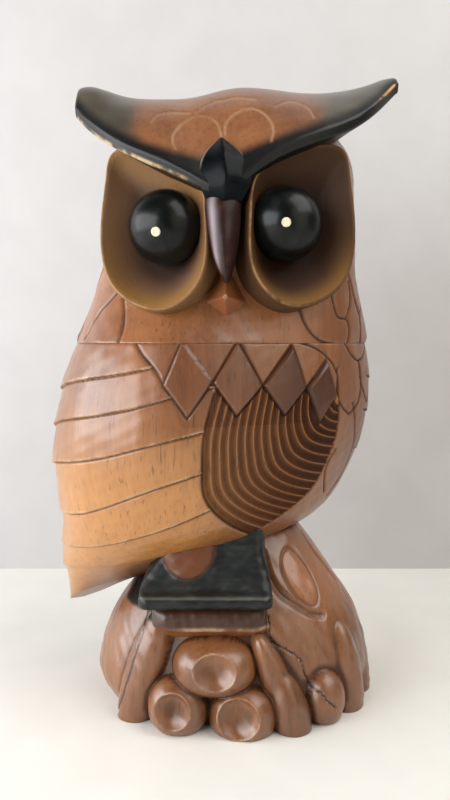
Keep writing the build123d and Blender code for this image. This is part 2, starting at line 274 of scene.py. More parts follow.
@dataclass(frozen=True)
class Wrap:
    """Where the places of a height map stand: bearings round the axis (columns) and heights (rows)."""

    sections: Sections
    bearings: Array
    heights: Array
    zero: float  # bearing from which the length round the block is measured

    def grid(self) -> tuple[Array, Array]:
        """Bearing and height of every place."""
        return np.meshgrid(self.bearings, self.heights)

    def around(self) -> Array:
        """Length round the block from the zero bearing to each place.

        The arc is the sum of sqrt(reach^2 + slope^2) over small steps of the bearing.

        Returns:
            The length in mm, positive towards the right.
        """
        bearing, height = self.grid()
        half_turn = 360  # steps of the fine bearings in half a turn
        fine = np.linspace(-math.pi, math.pi, 2 * half_turn + 1) + self.zero
        fine_bearing, fine_height = np.meshgrid(fine, self.heights)
        reach = self.sections.reach(fine_bearing, fine_height)
        slope = np.gradient(reach, fine, axis=1)
        step = np.sqrt(reach**2 + slope**2)
        strips = (step[:, 1:] + step[:, :-1]) / 2 * np.diff(fine)
        arc = np.concatenate([np.zeros((len(self.heights), 1)), np.cumsum(strips, axis=1)], axis=1)
        arc -= arc[:, half_turn : half_turn + 1]
        turned = (bearing - self.zero + math.pi) % (2 * math.pi) - math.pi + self.zero
        rows = [np.interp(turned[k], fine, arc[k]) for k in range(len(self.heights))]
        return np.array(rows)

    def places(self, reach: Array) -> Array:
        """The points at a given reach, shape (rows, columns, 3)."""
        bearing, height = self.grid()
        middle_x, middle_y, *_rest = self.sections.sizes(height)
        return np.stack(
            [middle_x + reach * np.cos(bearing), middle_y + reach * np.sin(bearing), height], axis=-1
        )


def bearings(count: int, towards: float, focus: float) -> Array:
    """Bearings round an axis, closest together on one side.

    Args:
        count: how many.
        towards: the bearing where they are closest, in radians.
        focus: how much closer: the spacing there is 1 / (1 + focus) of that opposite.

    Returns:
        Bearings in rising order over one turn.
    """
    fine = np.linspace(-math.pi, math.pi, 4001)
    weight = 1 + focus * (0.5 + 0.5 * np.cos(fine)) ** 1.2
    total = np.concatenate([[0], np.cumsum((weight[1:] + weight[:-1]) / 2)])
    return np.interp(np.arange(count) / count * total[-1], total, fine) + towards


BODY_SECTIONS = Sections(
    (
        (357, -11, 0, 149, 103, 22),
        (330, -14, -2, 156, 107, 22),
        (298, -18, -2, 160, 110, 22),
        (256, -26, 2, 159, 112, 22),
        (214, -35, 10, 149, 110, 22),
        (171, -57, 20, 125, 103, 22),
        (128, -118, 30, 68, 66, 22),
        (98, -156, 32, 27, 34, 22),
        (76, -174, 28, 7, 14, 22),
    )
)
HEAD_SECTIONS = Sections(
    (
        (357, -11, 0, 149, 103, 22),
        (385, -9, 1, 140, 97, 13),
        (420, -8, 4, 130, 91, 4),
        (458, -5, 6, 125, 88, -4),
        (510, -1, 7, 119, 86, -6),
        (548, 0, 8, 108, 80, -6),
        (572, 0, 8, 84, 66, -6),
    )
)
MOUND_SECTIONS = Sections(
    (
        (0, -2, 2, 125, 94, 0),
        (14, -3, 2, 135, 98, 0),
        (50, -2, 4, 137, 97, 0),
        (85, 0, 9, 124, 91, 0),
        (110, 1, 14, 106, 84, 0),
        (135, 2, 19, 88, 74, 0),
        (168, 4, 24, 61, 58, 0),
    )
)


# ---- meshes ---------------------------------------------------------------------------------
@dataclass
class Skin:
    """A closed surface as plain arrays: its points, its faces and its masks.

    A mask is a value from 0 to 1 at each point that a finish reads, such as where dirt lies.
    """

    points: Array
    faces: list[Array]
    masks: dict[str, Array] = field(default_factory=dict)

    @staticmethod
    def tube(points: Array, masks: dict[str, Array] | None = None) -> "Skin":
        """Closes a grid that is round in its columns: quads between rows, and a pole at each end.

        Args:
            points: places in mm, shape (rows, columns, 3); the columns run anticlockwise seen
                from the side of the last row.
            masks: values of shape (rows, columns).

        Returns:
            The skin, with each pole at the middle of its end row.
        """
        rows, columns, _three = points.shape
        index = np.arange(rows * columns).reshape(rows, columns)
        onward = np.roll(index, -1, axis=1)
        quads = np.stack([index[:-1], onward[:-1], onward[1:], index[1:]], axis=-1).reshape(-1, 4)
        low, high = rows * columns, rows * columns + 1
        low_fan = np.stack([onward[0], index[0], np.full(columns, low)], axis=-1)
        high_fan = np.stack([index[-1], onward[-1], np.full(columns, high)], axis=-1)
        ends = np.stack([points[0].mean(axis=0), points[-1].mean(axis=0)])
        flat = np.concatenate([points.reshape(-1, 3), ends])
        kept = {
            name: np.concatenate([value.ravel(), [value[0].mean(), value[-1].mean()]])
            for name, value in (masks or {}).items()
        }
        return Skin(flat, [quads, low_fan, high_fan], kept)

    @staticmethod
    def joined(skins: list["Skin"]) -> "Skin":
        """Several skins as one set of arrays, each still closed by itself.

        Args:
            skins: the skins.

        Returns:
            One skin with every mask of theirs, 0 on the points of a skin that has no such mask.
        """
        names = {name for skin in skins for name in skin.masks}
        starts = np.cumsum([0] + [len(skin.points) for skin in skins[:-1]])
        return Skin(
            np.concatenate([skin.points for skin in skins]),
            [faces + start for skin, start in zip(skins, starts) for faces in skin.faces],
            {
                name: np.concatenate([s.masks.get(name, np.zeros(len(s.points))) for s in skins])
                for name in names
            },
        )

    def mesh(self, name: str) -> bpy.types.Mesh:
        """The skin as a smooth-shaded mesh in metres, its masks as attributes of its points.

        Args:
            name: name of the mesh.

        Returns:
            The mesh.
        """
        made = bpy.data.meshes.new(name)
        made.from_pydata((self.points * MM).tolist(), [], [f for part in self.faces for f in part.tolist()])
        for mask, value in self.masks.items():
            layer = made.attributes.new(mask, "FLOAT", "POINT")
            layer.data.foreach_set("value", value.astype(np.float32))
        made.polygons.foreach_set("use_smooth", np.ones(len(made.polygons), bool))
        made.update()
        return made


@dataclass(frozen=True)
class Cut:
    """One saw cut: a plane in mm and the side of it that is kept, which its normal points away from."""

    point: Triple
    normal: Triple

    def flipped(self) -> "Cut":
        """The same cut with the other side kept."""
        return Cut(self.point, tuple(-n for n in self.normal))


def sawn(mesh: bpy.types.Mesh, cuts: list[Cut]) -> None:
    """Saws a mesh along planes and closes each cut face with a flat cap.

    Args:
        mesh: the mesh, changed in place.
        cuts: the planes, in order.
    """
    work = bmesh.new()
    work.from_mesh(mesh)
    for cut in cuts:
        everything = work.verts[:] + work.edges[:] + work.faces[:]
        found = bmesh.ops.bisect_plane(
            work,
            geom=everything,
            dist=SAW_GRIP,
            plane_co=[c * MM for c in cut.point],
            plane_no=cut.normal,
            clear_outer=True,
        )
        rim = [e for e in found["geom_cut"] if isinstance(e, bmesh.types.BMEdge) and len(e.link_faces) == 1]
        capped = bmesh.ops.holes_fill(work, edges=rim, sides=0)
        for face in capped["faces"]:
            face.smooth = False
        for edge in rim:
            edge.smooth = False
    work.normal_update()
    work.to_mesh(mesh)
    work.free()
    mesh.update()


class Slot(Enum):
    """Names of finishes that the carved pieces wear."""

    STAINED = "stained_wood"
    ROCK = "rock_wood"
    FEET = "feet_paint"
    BEAK = "beak_paint"


def place_piece(
    name: str, skin: Skin, cuts: list[Cut], node: str, finish: bpy.types.Material
) -> None:
    """Puts one carved piece in the scene in place of a block of the frame.

    Args:
        name: name of the piece.
        skin: its surface before it is sawn.
        cuts: the glue joints that bound it.
        node: the block of the frame that it stands for.
        finish: the material it wears.
    """
    mesh = skin.mesh(name)
    sawn(mesh, cuts)
    piece = bpy.data.objects.new(name, mesh)
    bpy.context.scene.collection.objects.link(piece)
    mesh.materials.append(finish)
    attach(piece, "root")
    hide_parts(node)
    LOG.info("%s: %d points, %d faces, for %s", name, len(mesh.vertices), len(mesh.polygons), node)


# ---- body -----------------------------------------------------------------------------------
@dataclass(frozen=True)
class Flutes:
    """The breast panel of nested gouge cuts, on the map of the body (length round it, height).

    Each crest falls from the diamonds, bends at the belly and ends on the right border. Its bend
    is the same figure every time, drawn between the crest's place at mid height and its end.
    """

    count: int = 17
    first: float = -52.0
    pitch: float = 7.6
    top: float = 350.0
    # Height where the crests start to bend: of the first, and how much higher that of the last is
    mid_height: float = 272.0
    mid_rise: float = 34.0
    # How far the top of the first crest and of the last leans over
    leans: Point = (7.0, -4.0)
    # The bend of the first crest and of the last: share of the run, share of the fall still to come
    bend: Line = ((0, 1), (0.05, 0.75), (0.14, 0.48), (0.29, 0.32), (0.6, 0.14), (1, 0))
    last_bend: Line = ((0, 1), (0.10, 0.64), (0.27, 0.34), (0.5, 0.15), (0.75, 0.05), (1, 0))
    border: Line = (
        (27, 174), (53, 197), (67, 208), (79, 222), (87, 250), (90, 270), (88, 290), (84, 308), (78, 322),
    )
    # Share of the border where the first crest ends, and over which the others end
    border_start: float = 0.02
    border_spread: float = 0.80
    overrun: float = 12.0

    def crest(self, number: int) -> Array:
        """Line of one crest, from its top to a little past the right border.

        Args:
            number: which crest, from 0 at the left.

        Returns:
            The line on the map of the body, shape (50, 2).
        """
        share = number / (self.count - 1)
        across = self.first + self.pitch * number
        border = smooth_line(list(self.border))
        end = border[int(round((self.border_start + self.border_spread * share) * (len(border) - 1)))]
        lean = self.leans[0] * (1 - share) + self.leans[1] * share
        level = self.mid_height + self.mid_rise * share**2
        points = [(across + lean * 1.6, self.top), (across + lean * 0.55, 0.5 * (self.top + level))]
        figure = np.array(self.bend) * (1 - share) + np.array(self.last_bend) * share
        points += [
            (across + run * (end[0] - across), end[1] + fall * (level - end[1])) for run, fall in figure
        ]
        points.append((end[0] + self.overrun, end[1] - 4 * (1 - share)))
        return smooth_line(points, 50)

    def phase(self, across: Array, height: Array) -> Array:
        """How many crests lie to the left of each place, with the share of the way to the next one.

        Args:
            across: length round the body, mm.
            height: height, mm.

        Returns:
            A count such as 3.5 for the middle of the channel after the fourth crest, -1 before them all.
        """
        result = np.full(across.shape, -1.0)
        before = None
        for number in range(self.count):
            gap = signed_distance(self.crest(number), across, height)
            if before is not None:
                between = (before >= 0) & (gap < 0)
                share = before / np.maximum(before - gap, 1e-6)
                result = np.where(between, number - 1 + share, result)
            before = gap
        return np.where(before >= 0, self.count - 1 + np.clip(before / self.pitch, 0, 0.99), result)


@dataclass
class Body:
    """The body: breast with diamonds and flutes, folded wings in shingled bands, tail at the back."""

    zero: float = math.radians(-68)
    columns: int = 560
    rows: int = 290
    low: float = 77.0
    neck: float = 357.0
    joint: float = 105.0
    middle_x: float = -20.0
    turn: float = 22.0
    underside: Triple = (134.0, 0.232, -0.524)
    band_step: float = 2.8
    groove_depth: float = 1.6
    band_top: float = 372.0  # upper edge of the first feather band
    last_drop: float = 52.0  # height of the band under the last edge
    # Half widths of the chisel lines
    chisel_width: float = 2.2
    bib_width: float = 2.4
    rib_width: float = 2.0
    rib_top: float = 318.0  # height where the first crest comes free of the diamonds
    cut_share: float = 0.055  # share of a feather band that is cut under the lip of the one above
    tail_side: float = 425.0  # length round the body to the chisel line at each side of the tail
    diamonds: tuple[Line, ...] = (
        ((-79, 360), (-93, 321), (-69, 292), (-50, 323)),
        ((-29, 360), (-50, 323), (-25, 293), (-3, 320)),
        ((24, 356), (-3, 320), (22, 292), (42, 317)),
        ((64, 342), (42, 317), (62, 283), (80, 309)),
    )
    bib: Line = ((-122, 362), (-110, 344), (-100, 333), (-93, 322))
    neckline: Line = ((33, 358), (56, 350), (71, 340), (81, 324), (84, 306), (89, 285))
    # Lower edges of the feather bands of the left wing: length round the body, height
    bands: tuple[Line, ...] = (
        ((-430, 262), (-330, 292), (-250, 312), (-178, 324), (-141, 329), (-100, 337), (-60, 350)),
        ((-430, 214), (-330, 252), (-260, 274), (-210, 285), (-147, 295), (-110, 303), (-60, 319)),
        ((-430, 168), (-330, 210), (-260, 234), (-210, 245), (-140, 257), (-105, 267), (-50, 281)),
        ((-430, 120), (-330, 158), (-260, 180), (-200, 192), (-154, 200), (-98, 224), (-45, 244)),
        ((-430, 86), (-330, 112), (-250, 132), (-180, 146), (-120, 163), (-87, 179), (-28, 209)),
    )
    # Chisel lines of the right shoulder and wing
    quills: tuple[Line, ...] = (
        ((80, 334), (81, 313), (89, 299), (104, 289)),
        ((108, 300), (121, 275), (131, 250), (128, 226), (112, 204)),
        ((116, 341), (121, 321), (144, 298)),
        ((94, 256), (88, 240), (100, 211)),
        ((90, 358), (98, 349), (116, 340), (128, 344), (140, 357)),
        ((144, 298), (158, 318), (165, 338), (168, 357)),
        ((104, 289), (118, 300), (116, 341)),
    )
    flutes: Flutes = field(default_factory=Flutes)

    def cuts(self) -> dict[str, list[Cut]]:
        """Saw cuts that part the body into its middle block and two wing planks."""
        across = (math.cos(math.radians(self.turn)), math.sin(math.radians(self.turn)), 0.0)
        low, high = (
            Cut((self.middle_x + side * self.joint * across[0], side * self.joint * across[1], 0), across)
            for side in (-1, 1)
        )
        level, slope_x, slope_y = self.underside
        under = Cut((0, 0, level), (slope_x, slope_y, -1))
        return {
            "left_wing_plank": [under, low],
            "torso_block": [under, low.flipped(), high],
            "right_wing_plank": [under, high.flipped()],
        }

    def band_place(self, across: Array, height: Array) -> tuple[Array, Array]:
        """The feather band at each place.

        Args:
            across: length round the body from the middle of the breast, mm.
            height: height, mm.

        Returns:
            The number of the band, -1 outside them all, and the share of the way down it.
        """
        edges = [natural_spline(*np.array(line, float).T, across) for line in self.bands]
        edges = [np.full(across.shape, self.band_top)] + edges + [edges[-1] - self.last_drop]
        number = np.full(across.shape, -1)
        share = np.zeros(across.shape)
        for k, (upper, lower) in enumerate(zip(edges[:-1], edges[1:])):
            here = (height <= upper) & (height > lower)
            number = np.where(here, k, number)
            share = np.where(here, (upper - height) / np.maximum(upper - lower, 1), share)
        return number, share

    def first_rib(self) -> Array:
        """The part of the first crest that is free of the diamonds."""
        crest = self.flutes.crest(0)
        return crest[crest[:, 1] < self.rib_top]

    def panel_outline(self) -> Array:
        """Outline of the fluted panel: the first crest, the right border and the feet of the diamonds."""
        border = smooth_line(list(self.flutes.border))
        feet = [corner for ring in reversed(self.diamonds[1:]) for corner in (ring[3], ring[2])]
        feet.append(self.diamonds[1][1])
        return np.concatenate([self.first_rib(), border[2:], np.array(feet, float)])

    def diamond_relief(self, across: Array, height: Array) -> tuple[Array, Array, Array]:
        """The row of diamonds, each a cushion that stands out most at its top.

        Args:
            across: length round the body from the middle of the breast, mm.
            height: height, mm.

        Returns:
            How far each place stands out, whether it is in a diamond, and how far it is from an edge.
        """
        lift = np.zeros(across.shape)
        covered = np.zeros(across.shape, bool)
        edge_gap = np.full(across.shape, 99.0)
        for number, corners in enumerate(self.diamonds):
            ring = np.array(corners, float)
            here = inside(ring, across, height)
            covered |= here
            # the first diamond has no cut along its upper right side
            edges = ring if number == 0 else np.concatenate([ring, ring[:1]])
            gap = np.abs(signed_distance(edges, across, height))
            edge_gap = np.minimum(edge_gap, gap)
            swell = 0.8 + 1.7 * smooth_step(ring[2, 1], ring[0, 1], height)
            lift = np.where(here, swell * np.clip(gap / 3.0, 0, 1), lift)
        return lift, covered, edge_gap

    def chisel_lines(self, across: Array, height: Array) -> Array:
        """The single chisel lines: neckline, edge of the bib, first crest and quills.

        Args:
            across: length round the body from the middle of the breast, mm.
            height: height, mm.

        Returns:
            1 on a line, falling to 0 at its half width.
        """
        lines = [(self.neckline, self.chisel_width), (self.bib, self.bib_width)]
        lines += [(line, self.chisel_width) for line in self.quills]
        cut = dent(signed_distance(self.first_rib(), across, height), self.rib_width)
        for line, width in lines:
            cut = np.maximum(cut, dent(signed_distance(smooth_line(list(line)), across, height), width))
        return cut

    def carve(self, across: Array, height: Array) -> tuple[Array, dict[str, Array]]:
        """Depth of the carving on the map of the body.

        A feather band swells with the power 1.4 of the share of the way down it. A flute sinks with
        the power 0.75 of the sine over the way from one crest to the next. Each chisel line sinks by
        its dent times the groove depth.

        Args:
            across: length round the body from the middle of the breast, mm.
            height: height, mm.

        Returns:
            How far the skin stands out at each place in mm, and the masks of the finish.
        """
        in_panel = inside(self.panel_outline(), across, height)
        diamond_lift, in_diamond, edge_gap = self.diamond_relief(across, height)
        bib_side = signed_distance(smooth_line(list(self.bib)), across, height)
        in_bib = (bib_side > 0) & (height > 285) & (across < 60)
        left_of_flutes = signed_distance(self.flutes.crest(0), across, height) < 0
        shoulder = (bib_side > 0) & (height > 320)
        wing = left_of_flutes & ~in_diamond & ~shoulder & (across < 30)
        number, share = self.band_place(across, height)
        banded = self.band_step * (share**1.4 - 0.35)
        # the right wing wears the same bands, mirrored, behind its own front edge
        mirrored_number, mirrored_share = self.band_place(-across - 30, height)
        gentle = 0.35 + 0.65 * smooth_step(150, 230, across)
        mirrored = self.band_step * gentle * (mirrored_share**1.4 - 0.35)
        fade = smooth_step(128, 150, across)
        out = np.where(wing, banded, 0.0)
        out = np.where(across > 100, mirrored * fade, out)
        out = np.where(in_diamond, diamond_lift + 0.6, out)
        # flutes: a round-bottomed channel between two sharp crests
        phase = self.flutes.phase(across, height)
        part = phase - np.floor(phase)
        deeper = 1.6 + 1.5 * smooth_step(-30, 60, across)
        channel = np.sin(np.pi * part) ** 0.75
        out = np.where(in_panel, 0.9 - deeper * channel, out)
        cut = dent(edge_gap, self.rib_width) * (height < self.neck)
        cut = np.maximum(cut, self.chisel_lines(across, height))

        def under_lip(band: Array, way_down: Array) -> Array:
            """The cut at the top of each feather band but the first."""
            return np.clip(1 - way_down / self.cut_share, 0, 1) * (band > 0)

        under_band = np.where(wing, under_lip(number, share), 0)
        under_mirrored = np.where(across > 128, under_lip(mirrored_number, mirrored_share), 0)
        cut = np.maximum(cut, np.maximum(under_band, under_mirrored * fade))
        tail = dent(np.abs(np.abs(across) - self.tail_side), 2.5) * smooth_step(330, 250, height)
        cut = np.maximum(cut, tail)
        out = out - self.groove_depth * cut
        # the neck joint and slight facets of the knife
        out = out - 0.4 * dent(height - self.neck, 1.6)
        out = out + 0.25 * ripple(across, height, 46, 5) * ~in_panel
        lip = np.where(wing, smooth_step(0.93, 0.985, share) * (number < 5), 0)
        gilt = smooth_step(330, 170, height) * smooth_step(20, -70, across) + 0.25 * (wing & (number >= 3))
        # The dark mask is painted shade, growing towards the right side away from the light over the
        # diamonds, the flutes and the right flank; the bib is darker too.
        shade = (
            0.25 * in_bib
            + np.where(in_panel, 0.45 + 0.5 * smooth_step(-20, 70, across), 0)
            + np.where(in_diamond, 0.14 + 0.75 * smooth_step(-70, 60, across), 0)
            + 0.45 * smooth_step(40, 130, across)
        )
        masks = {
            # the flute channels darken with the cut mask: painted shade in their hollows
            "cut": np.clip(cut + 0.6 * np.where(in_panel, channel, 0), 0, 1),
            "crest": 0.5 * lip,
            "flute": np.where(in_panel, phase, 0.5),
            "panel": in_panel * 1.0,
            "gold": np.clip(gilt, 0, 1),
            "dark": np.clip(shade, 0, 1),
        }
        return out, masks

    def skin(self) -> Skin:
        """The whole body before it is sawn."""
        wrap = Wrap(
            BODY_SECTIONS,
            bearings(self.columns, self.zero, 2.2),
            np.linspace(self.low, self.neck, self.rows),
            self.zero,
        )
        bearing, height = wrap.grid()
        out, masks = self.carve(wrap.around(), height)
        return Skin.tube(wrap.places(BODY_SECTIONS.reach(bearing, height) + out), masks)

    def build(self, finish: bpy.types.Material) -> None:
        """Builds the three blocks of the body."""
        skin = self.skin()
        for node, cuts in self.cuts().items():
            place_piece(f"{node}_carving", skin, cuts, node, finish)


# ---- head -----------------------------------------------------------------------------------
@dataclass(frozen=True)
class FaceDisc:
    """One dished face disc: its outline carried back as a wall and in as a smooth bowl.

    The bowl sinks by depth * (1 - r^2.8) at the share r of the way from its middle to its rim. The
    disc is leaned back by its tilt and then turned out about its middle.
    """

    x: float
    z: float
    turn: float
    mirror: int
    front_y: float = -104.0
    wall: float = 44.0
    depth: float = 28.0
    tilt: float = 7.0
    gilt: float = 0.45  # gold under the brow
    # painted shade in the bowl: none on the left disc, most on the right one, away from the light
    shade: float = 0.0  # darkness of the bowl
    outline: Line = (
        (7, -65), (-31, -51), (-49, -22), (-53, 16), (-50, 56),
        (-34, 80), (28, 60), (46, 20), (48, -20), (37, -49),
    )
    # Rings that round the rim, from the back forwards: mm outside the outline, mm behind the front
    rim_rings: Line = (
        (0.6, 24.0), (1.0, 8.0), (0.9, 3.2), (0.5, 1.4), (0.0, 0.5), (-0.7, 0.05), (-1.5, 0.1), (-2.2, 0.7),
    )
    cover_points: int = 120
    columns: int = 160
    bowl_rings: int = 40
    bowl_share: float = 0.955  # share of the outline where the bowl starts

    def covers(self, x: Array, z: Array) -> Array:
        """How far each place is inside the outline as seen from the front.

        Args:
            x: x of each place.
            z: its height.

        Returns:
            The distance to the outline, 0 outside it.
        """
        corners = [(self.x + self.mirror * u, self.z + w) for u, w in self.outline]
        loop = closed_line(corners, self.cover_points)
        gap = np.abs(signed_distance(np.concatenate([loop, loop[:1]]), x, z))
        return np.where(inside(loop, x, z), gap, 0.0)

    def skin(self, brow: "Brow") -> Skin:
        """The disc as a skin with the masks rim, gold, bowl, dark and share.

        Args:
            brow: the brow, whose lower edge says where the bowl is gilded.

        Returns:
            The skin, its rows from the middle of the bowl to the back of the wall.
        """
        loop = closed_line([(self.mirror * x, z) for x, z in self.outline], self.columns)
        if self.mirror < 0:
            loop = loop[::-1]
        # seen from the front the loop runs clockwise; rows run from the back of the wall to the middle
        wall = [(0.2, self.wall), *self.rim_rings]
        shares = np.linspace(self.bowl_share, 0.02, self.bowl_rings)
        outward = loop / np.linalg.norm(loop, axis=1, keepdims=True)
        rings, rim, gold = [], [], []
        # the front edge of the rim is paler on its left side, towards the light: a painted highlight
        worn = 0.15 + 0.85 * smooth_step(0.35, -0.45, outward[:, 0])
        for offset, back in wall:
            rings.append(np.column_stack([loop + outward * offset, np.full(len(loop), back)]))
            rim.append(worn * (1.0 if back < 0.6 else 0.0))
            gold.append(np.full(len(loop), 0.2 if back > 2 else 0.4))
        for share in shares:
            back = 1.0 + self.depth * (1 - (share / self.bowl_share) ** 2.8)
            rings.append(np.column_stack([loop * share, np.full(len(loop), back)]))
            rim.append(np.zeros(len(loop)))
            below = smooth_step(30, -62, loop[:, 1] * share)
            gold.append(smooth_step(0.66, 0.98, share) * (0.08 + 0.92 * below))
        local = np.array(rings)
        turn, tilt = math.radians(self.turn), math.radians(self.tilt)
        across = local[..., 0]
        back = local[..., 2] * math.cos(tilt) + local[..., 1] * math.sin(tilt)
        up = local[..., 1] * math.cos(tilt) - local[..., 2] * math.sin(tilt)
        points = np.stack(
            [
                self.x + across * math.cos(turn) - back * math.sin(turn),
                self.front_y + across * math.sin(turn) + back * math.cos(turn),
                self.z + up,
            ],
            axis=-1,
        )
        under = brow.lower_edge(points[..., 0]) - points[..., 2]
        wall_shares = np.ones((len(wall), len(loop)))
        bowl_shares = np.repeat(shares[:, None], len(loop), 1)
        masks = {
            "rim": np.array(rim),
            "gold": np.maximum(np.array(gold), smooth_step(22, 5, under) * self.gilt),
            "bowl": np.ones(points.shape[:2]),
            "dark": np.full(points.shape[:2], self.shade),
            "share": np.concatenate([wall_shares, bowl_shares]),
        }
        return Skin.tube(points[:, ::-1], {k: v[:, ::-1] for k, v in masks.items()})


@dataclass(frozen=True)
class Brow:
    """The brow with its ear tufts: a closed slice carried from the tip of one tuft to the other.

    Every size of the slice follows a natural spline along x. The slice is a thin painted band
    along the lower edge, then a spline over the forehead and crown to the nape.
    """

    stations: tuple[tuple[float, float, float, float, float], ...] = (
        (-157, 577, 590, -48, -30), (-148, 564, 597, -58, -14), (-130, 544, 598, -76, 10),
        (-107, 526, 593, -96, 48), (-72, 507, 592, -112, 74), (-40, 491, 595, -120, 86),
        (-13, 480, 602, -124, 90), (16, 499, 604, -122, 90), (45, 517, 600, -117, 86),
        (75, 530, 597, -109, 76), (103, 544, 598, -95, 52), (126, 563, 602, -77, 18),
        (144, 583, 606, -58, -14), (154, 594, 604, -50, -32),
    )
    band: float = 9.0
    crown_y: float = -15.0
    knots: tuple[float, ...] = (0.0, 0.28, 0.55, 0.80, 1.0)
    slices: int = 264
    # Points of a slice: up the band, over forehead and crown, in at the nape, forward underneath
    band_points: int = 10
    crown_points: int = 96
    nape_points: int = 12
    under_points: int = 34
    # How far the slices stop short of the first and the last station
    insets: Point = (10.0, 7.0)
    # The rounded end of each tip: its length and the angles of its rings
    tip_length: float = 4.0
    tip_angles: tuple[float, ...] = (22, 44, 62, 78)
    # Shallow hollows of the forehead: x, height, size
    hollows: tuple[Triple, ...] = ((-34, 538, 20), (9, 543, 19))
    # Scratched arcs of the forehead: x, height
    arcs: tuple[Line, ...] = (
        ((-53, 522), (-56, 534), (-50, 547), (-42, 556), (-33, 559), (-24, 556), (-17, 547), (-14.5, 535)),
        ((-11, 538), (-10, 549), (-4, 558), (6, 564), (17, 562), (26, 553), (30, 541), (28, 527)),
        ((-76, 551), (-72, 559), (-59, 563), (-42, 562)),
        ((-38, 562), (-29, 571), (-15, 577), (2, 579), (16, 575)),
        ((33, 565), (46, 572), (60, 566), (66, 551)),
    )

    def lower_edge(self, x: Array) -> Array:
        """Height of the lower edge of the brow at each x."""
        table = np.array(self.stations, float)
        return natural_spline(table[:, 0], table[:, 1], x)

    def slices_at(self, x: Array) -> tuple[Array, Array, Array]:
        """Closed slices of the brow.

        Args:
            x: place of each slice.

        Returns:
            Depth and height of the points, shape (points, slices, 2). The kind of each point: 1 up the
            band, 0 over forehead and crown, 0.4 underneath. And its share of the way over the crown.
        """
        table = np.array(self.stations, float)
        edge, top, front, back = natural_spline(table[:, 0], table[:, 1:], x).T
        rise = top - edge
        band = np.minimum(self.band, 0.45 * rise)
        crown = np.maximum(front + 0.35 * (back - front), np.minimum(self.crown_y, 0.5 * (front + back)))
        out = np.clip((np.abs(x) - 60) / 60, 0, 1)
        over = np.stack(
            [
                np.stack([front, edge + band], -1),
                np.stack([front + 0.42 * (crown - front), edge + band + 0.64 * (rise - band)], -1),
                np.stack([crown, top], -1),
                np.stack([crown + 0.62 * (back - crown), top - 0.12 * rise], -1),
                np.stack([back, top - (0.55 - 0.23 * out) * rise], -1),
            ]
        )
        share = np.linspace(0, 1, self.crown_points)
        arc = natural_spline(np.array(self.knots), over.reshape(len(over), -1), share)
        arc = arc.reshape(len(share), len(x), 2)
        heel = np.stack([back - 0.15 * (back - front), edge + (0.12 + 0.42 * out) * rise], -1)
        foot = np.stack([front + 3, edge], -1)

        def straight(start: Array, end: Array, count: int) -> Array:
            """Evenly spaced points from start to end, without the end."""
            t = np.arange(count)[:, None, None] / count
            return start * (1 - t) + end * t

        up = straight(foot, arc[0], self.band_points)
        nape = straight(arc[-1], heel, self.nape_points)[1:]
        under = straight(heel, foot, self.under_points)
        loop = np.concatenate([up, arc, nape, under])
        kind = np.concatenate([np.ones(len(up)), np.zeros(len(arc) + len(nape)), np.full(len(under), 0.4)])
        way = np.concatenate([np.zeros(len(up)), share, np.ones(len(nape) + len(under))])
        for _pass in range(4):
            loop = 0.25 * np.roll(loop, 1, axis=0) + 0.5 * loop + 0.25 * np.roll(loop, -1, axis=0)
        return loop, kind, way

    def tip(self, end: Array, way_out: int) -> Array:
        """Rings that close a tip with a rounded end.

        Args:
            end: points of the last slice.
            way_out: 1 where the tip points along x, -1 where it points against it.

        Returns:
            The rings from the slice outwards, shape (rings, points, 3).
        """
        middle = end.mean(axis=0)
        rings = []
        for angle in np.radians(self.tip_angles):
            ring = middle + (end - middle) * math.cos(angle)
            ring[:, 0] = end[:, 0] + way_out * self.tip_length * math.sin(angle)
            rings.append(ring)
        return np.array(rings)

    def skin(self) -> Skin:
        """The brow as a closed skin with the masks paint, tuft, scratch, crest and pale."""
        first, last = self.stations[0][0] + self.insets[0], self.stations[-1][0] - self.insets[1]
        x = np.linspace(first, last, self.slices)
        loop, kind, way = self.slices_at(x)
        points = np.concatenate([np.broadcast_to(x[None, :, None], loop.shape[:2] + (1,)), loop], axis=-1)
        points = points.transpose(1, 0, 2)  # rows along x, columns round the slice
        # chisel arcs and hollows of the forehead, pressed into the front
        fx, fz = points[..., 0], points[..., 2]
        ahead = (way[None, :] > 0) & (way[None, :] < 0.62)
        cut = np.zeros(fx.shape)
        for line in self.arcs:
            cut = np.maximum(cut, dent(signed_distance(smooth_line(list(line)), fx, fz), 1.7))
        cut = cut * ahead
        hollow = np.zeros(fx.shape)
        for middle_x, middle_z, size in self.hollows:
            hollow += np.exp(-(((fx - middle_x) / size) ** 2 + ((fz - middle_z) / size) ** 2) * 1.6)
        pressed = 0.9 * cut + 2.2 * hollow * ahead + 0.35 * ripple(fx, fz, 60, 9)
        points[..., 1] += pressed * (kind[None, :] < 0.3)
        points = np.concatenate([self.tip(points[0], -1)[::-1], points, self.tip(points[-1], 1)])

        def with_tips(value: Array) -> Array:
            """A mask with its first and last row repeated over the rings of the tips."""
            rings = len(self.tip_angles)
            return np.concatenate([np.repeat(value[:1], rings, 0), value, np.repeat(value[-1:], rings, 0)])

        kinds = np.broadcast_to(kind[None, :], fx.shape)
        ways = np.broadcast_to(way[None, :], fx.shape)
        tuft = np.maximum(smooth_step(-72, -108, fx), smooth_step(48, 98, fx))
        above = fz - self.lower_edge(fx)
        # the paint of the lower edge reaches higher over the boss
        low = smooth_step(34, 5, above - 15 * np.exp(-(((fx + 11) / 30) ** 2)))
        paint = low * (kinds < 0.3) * (ways < 0.6) + (kinds > 0.3)
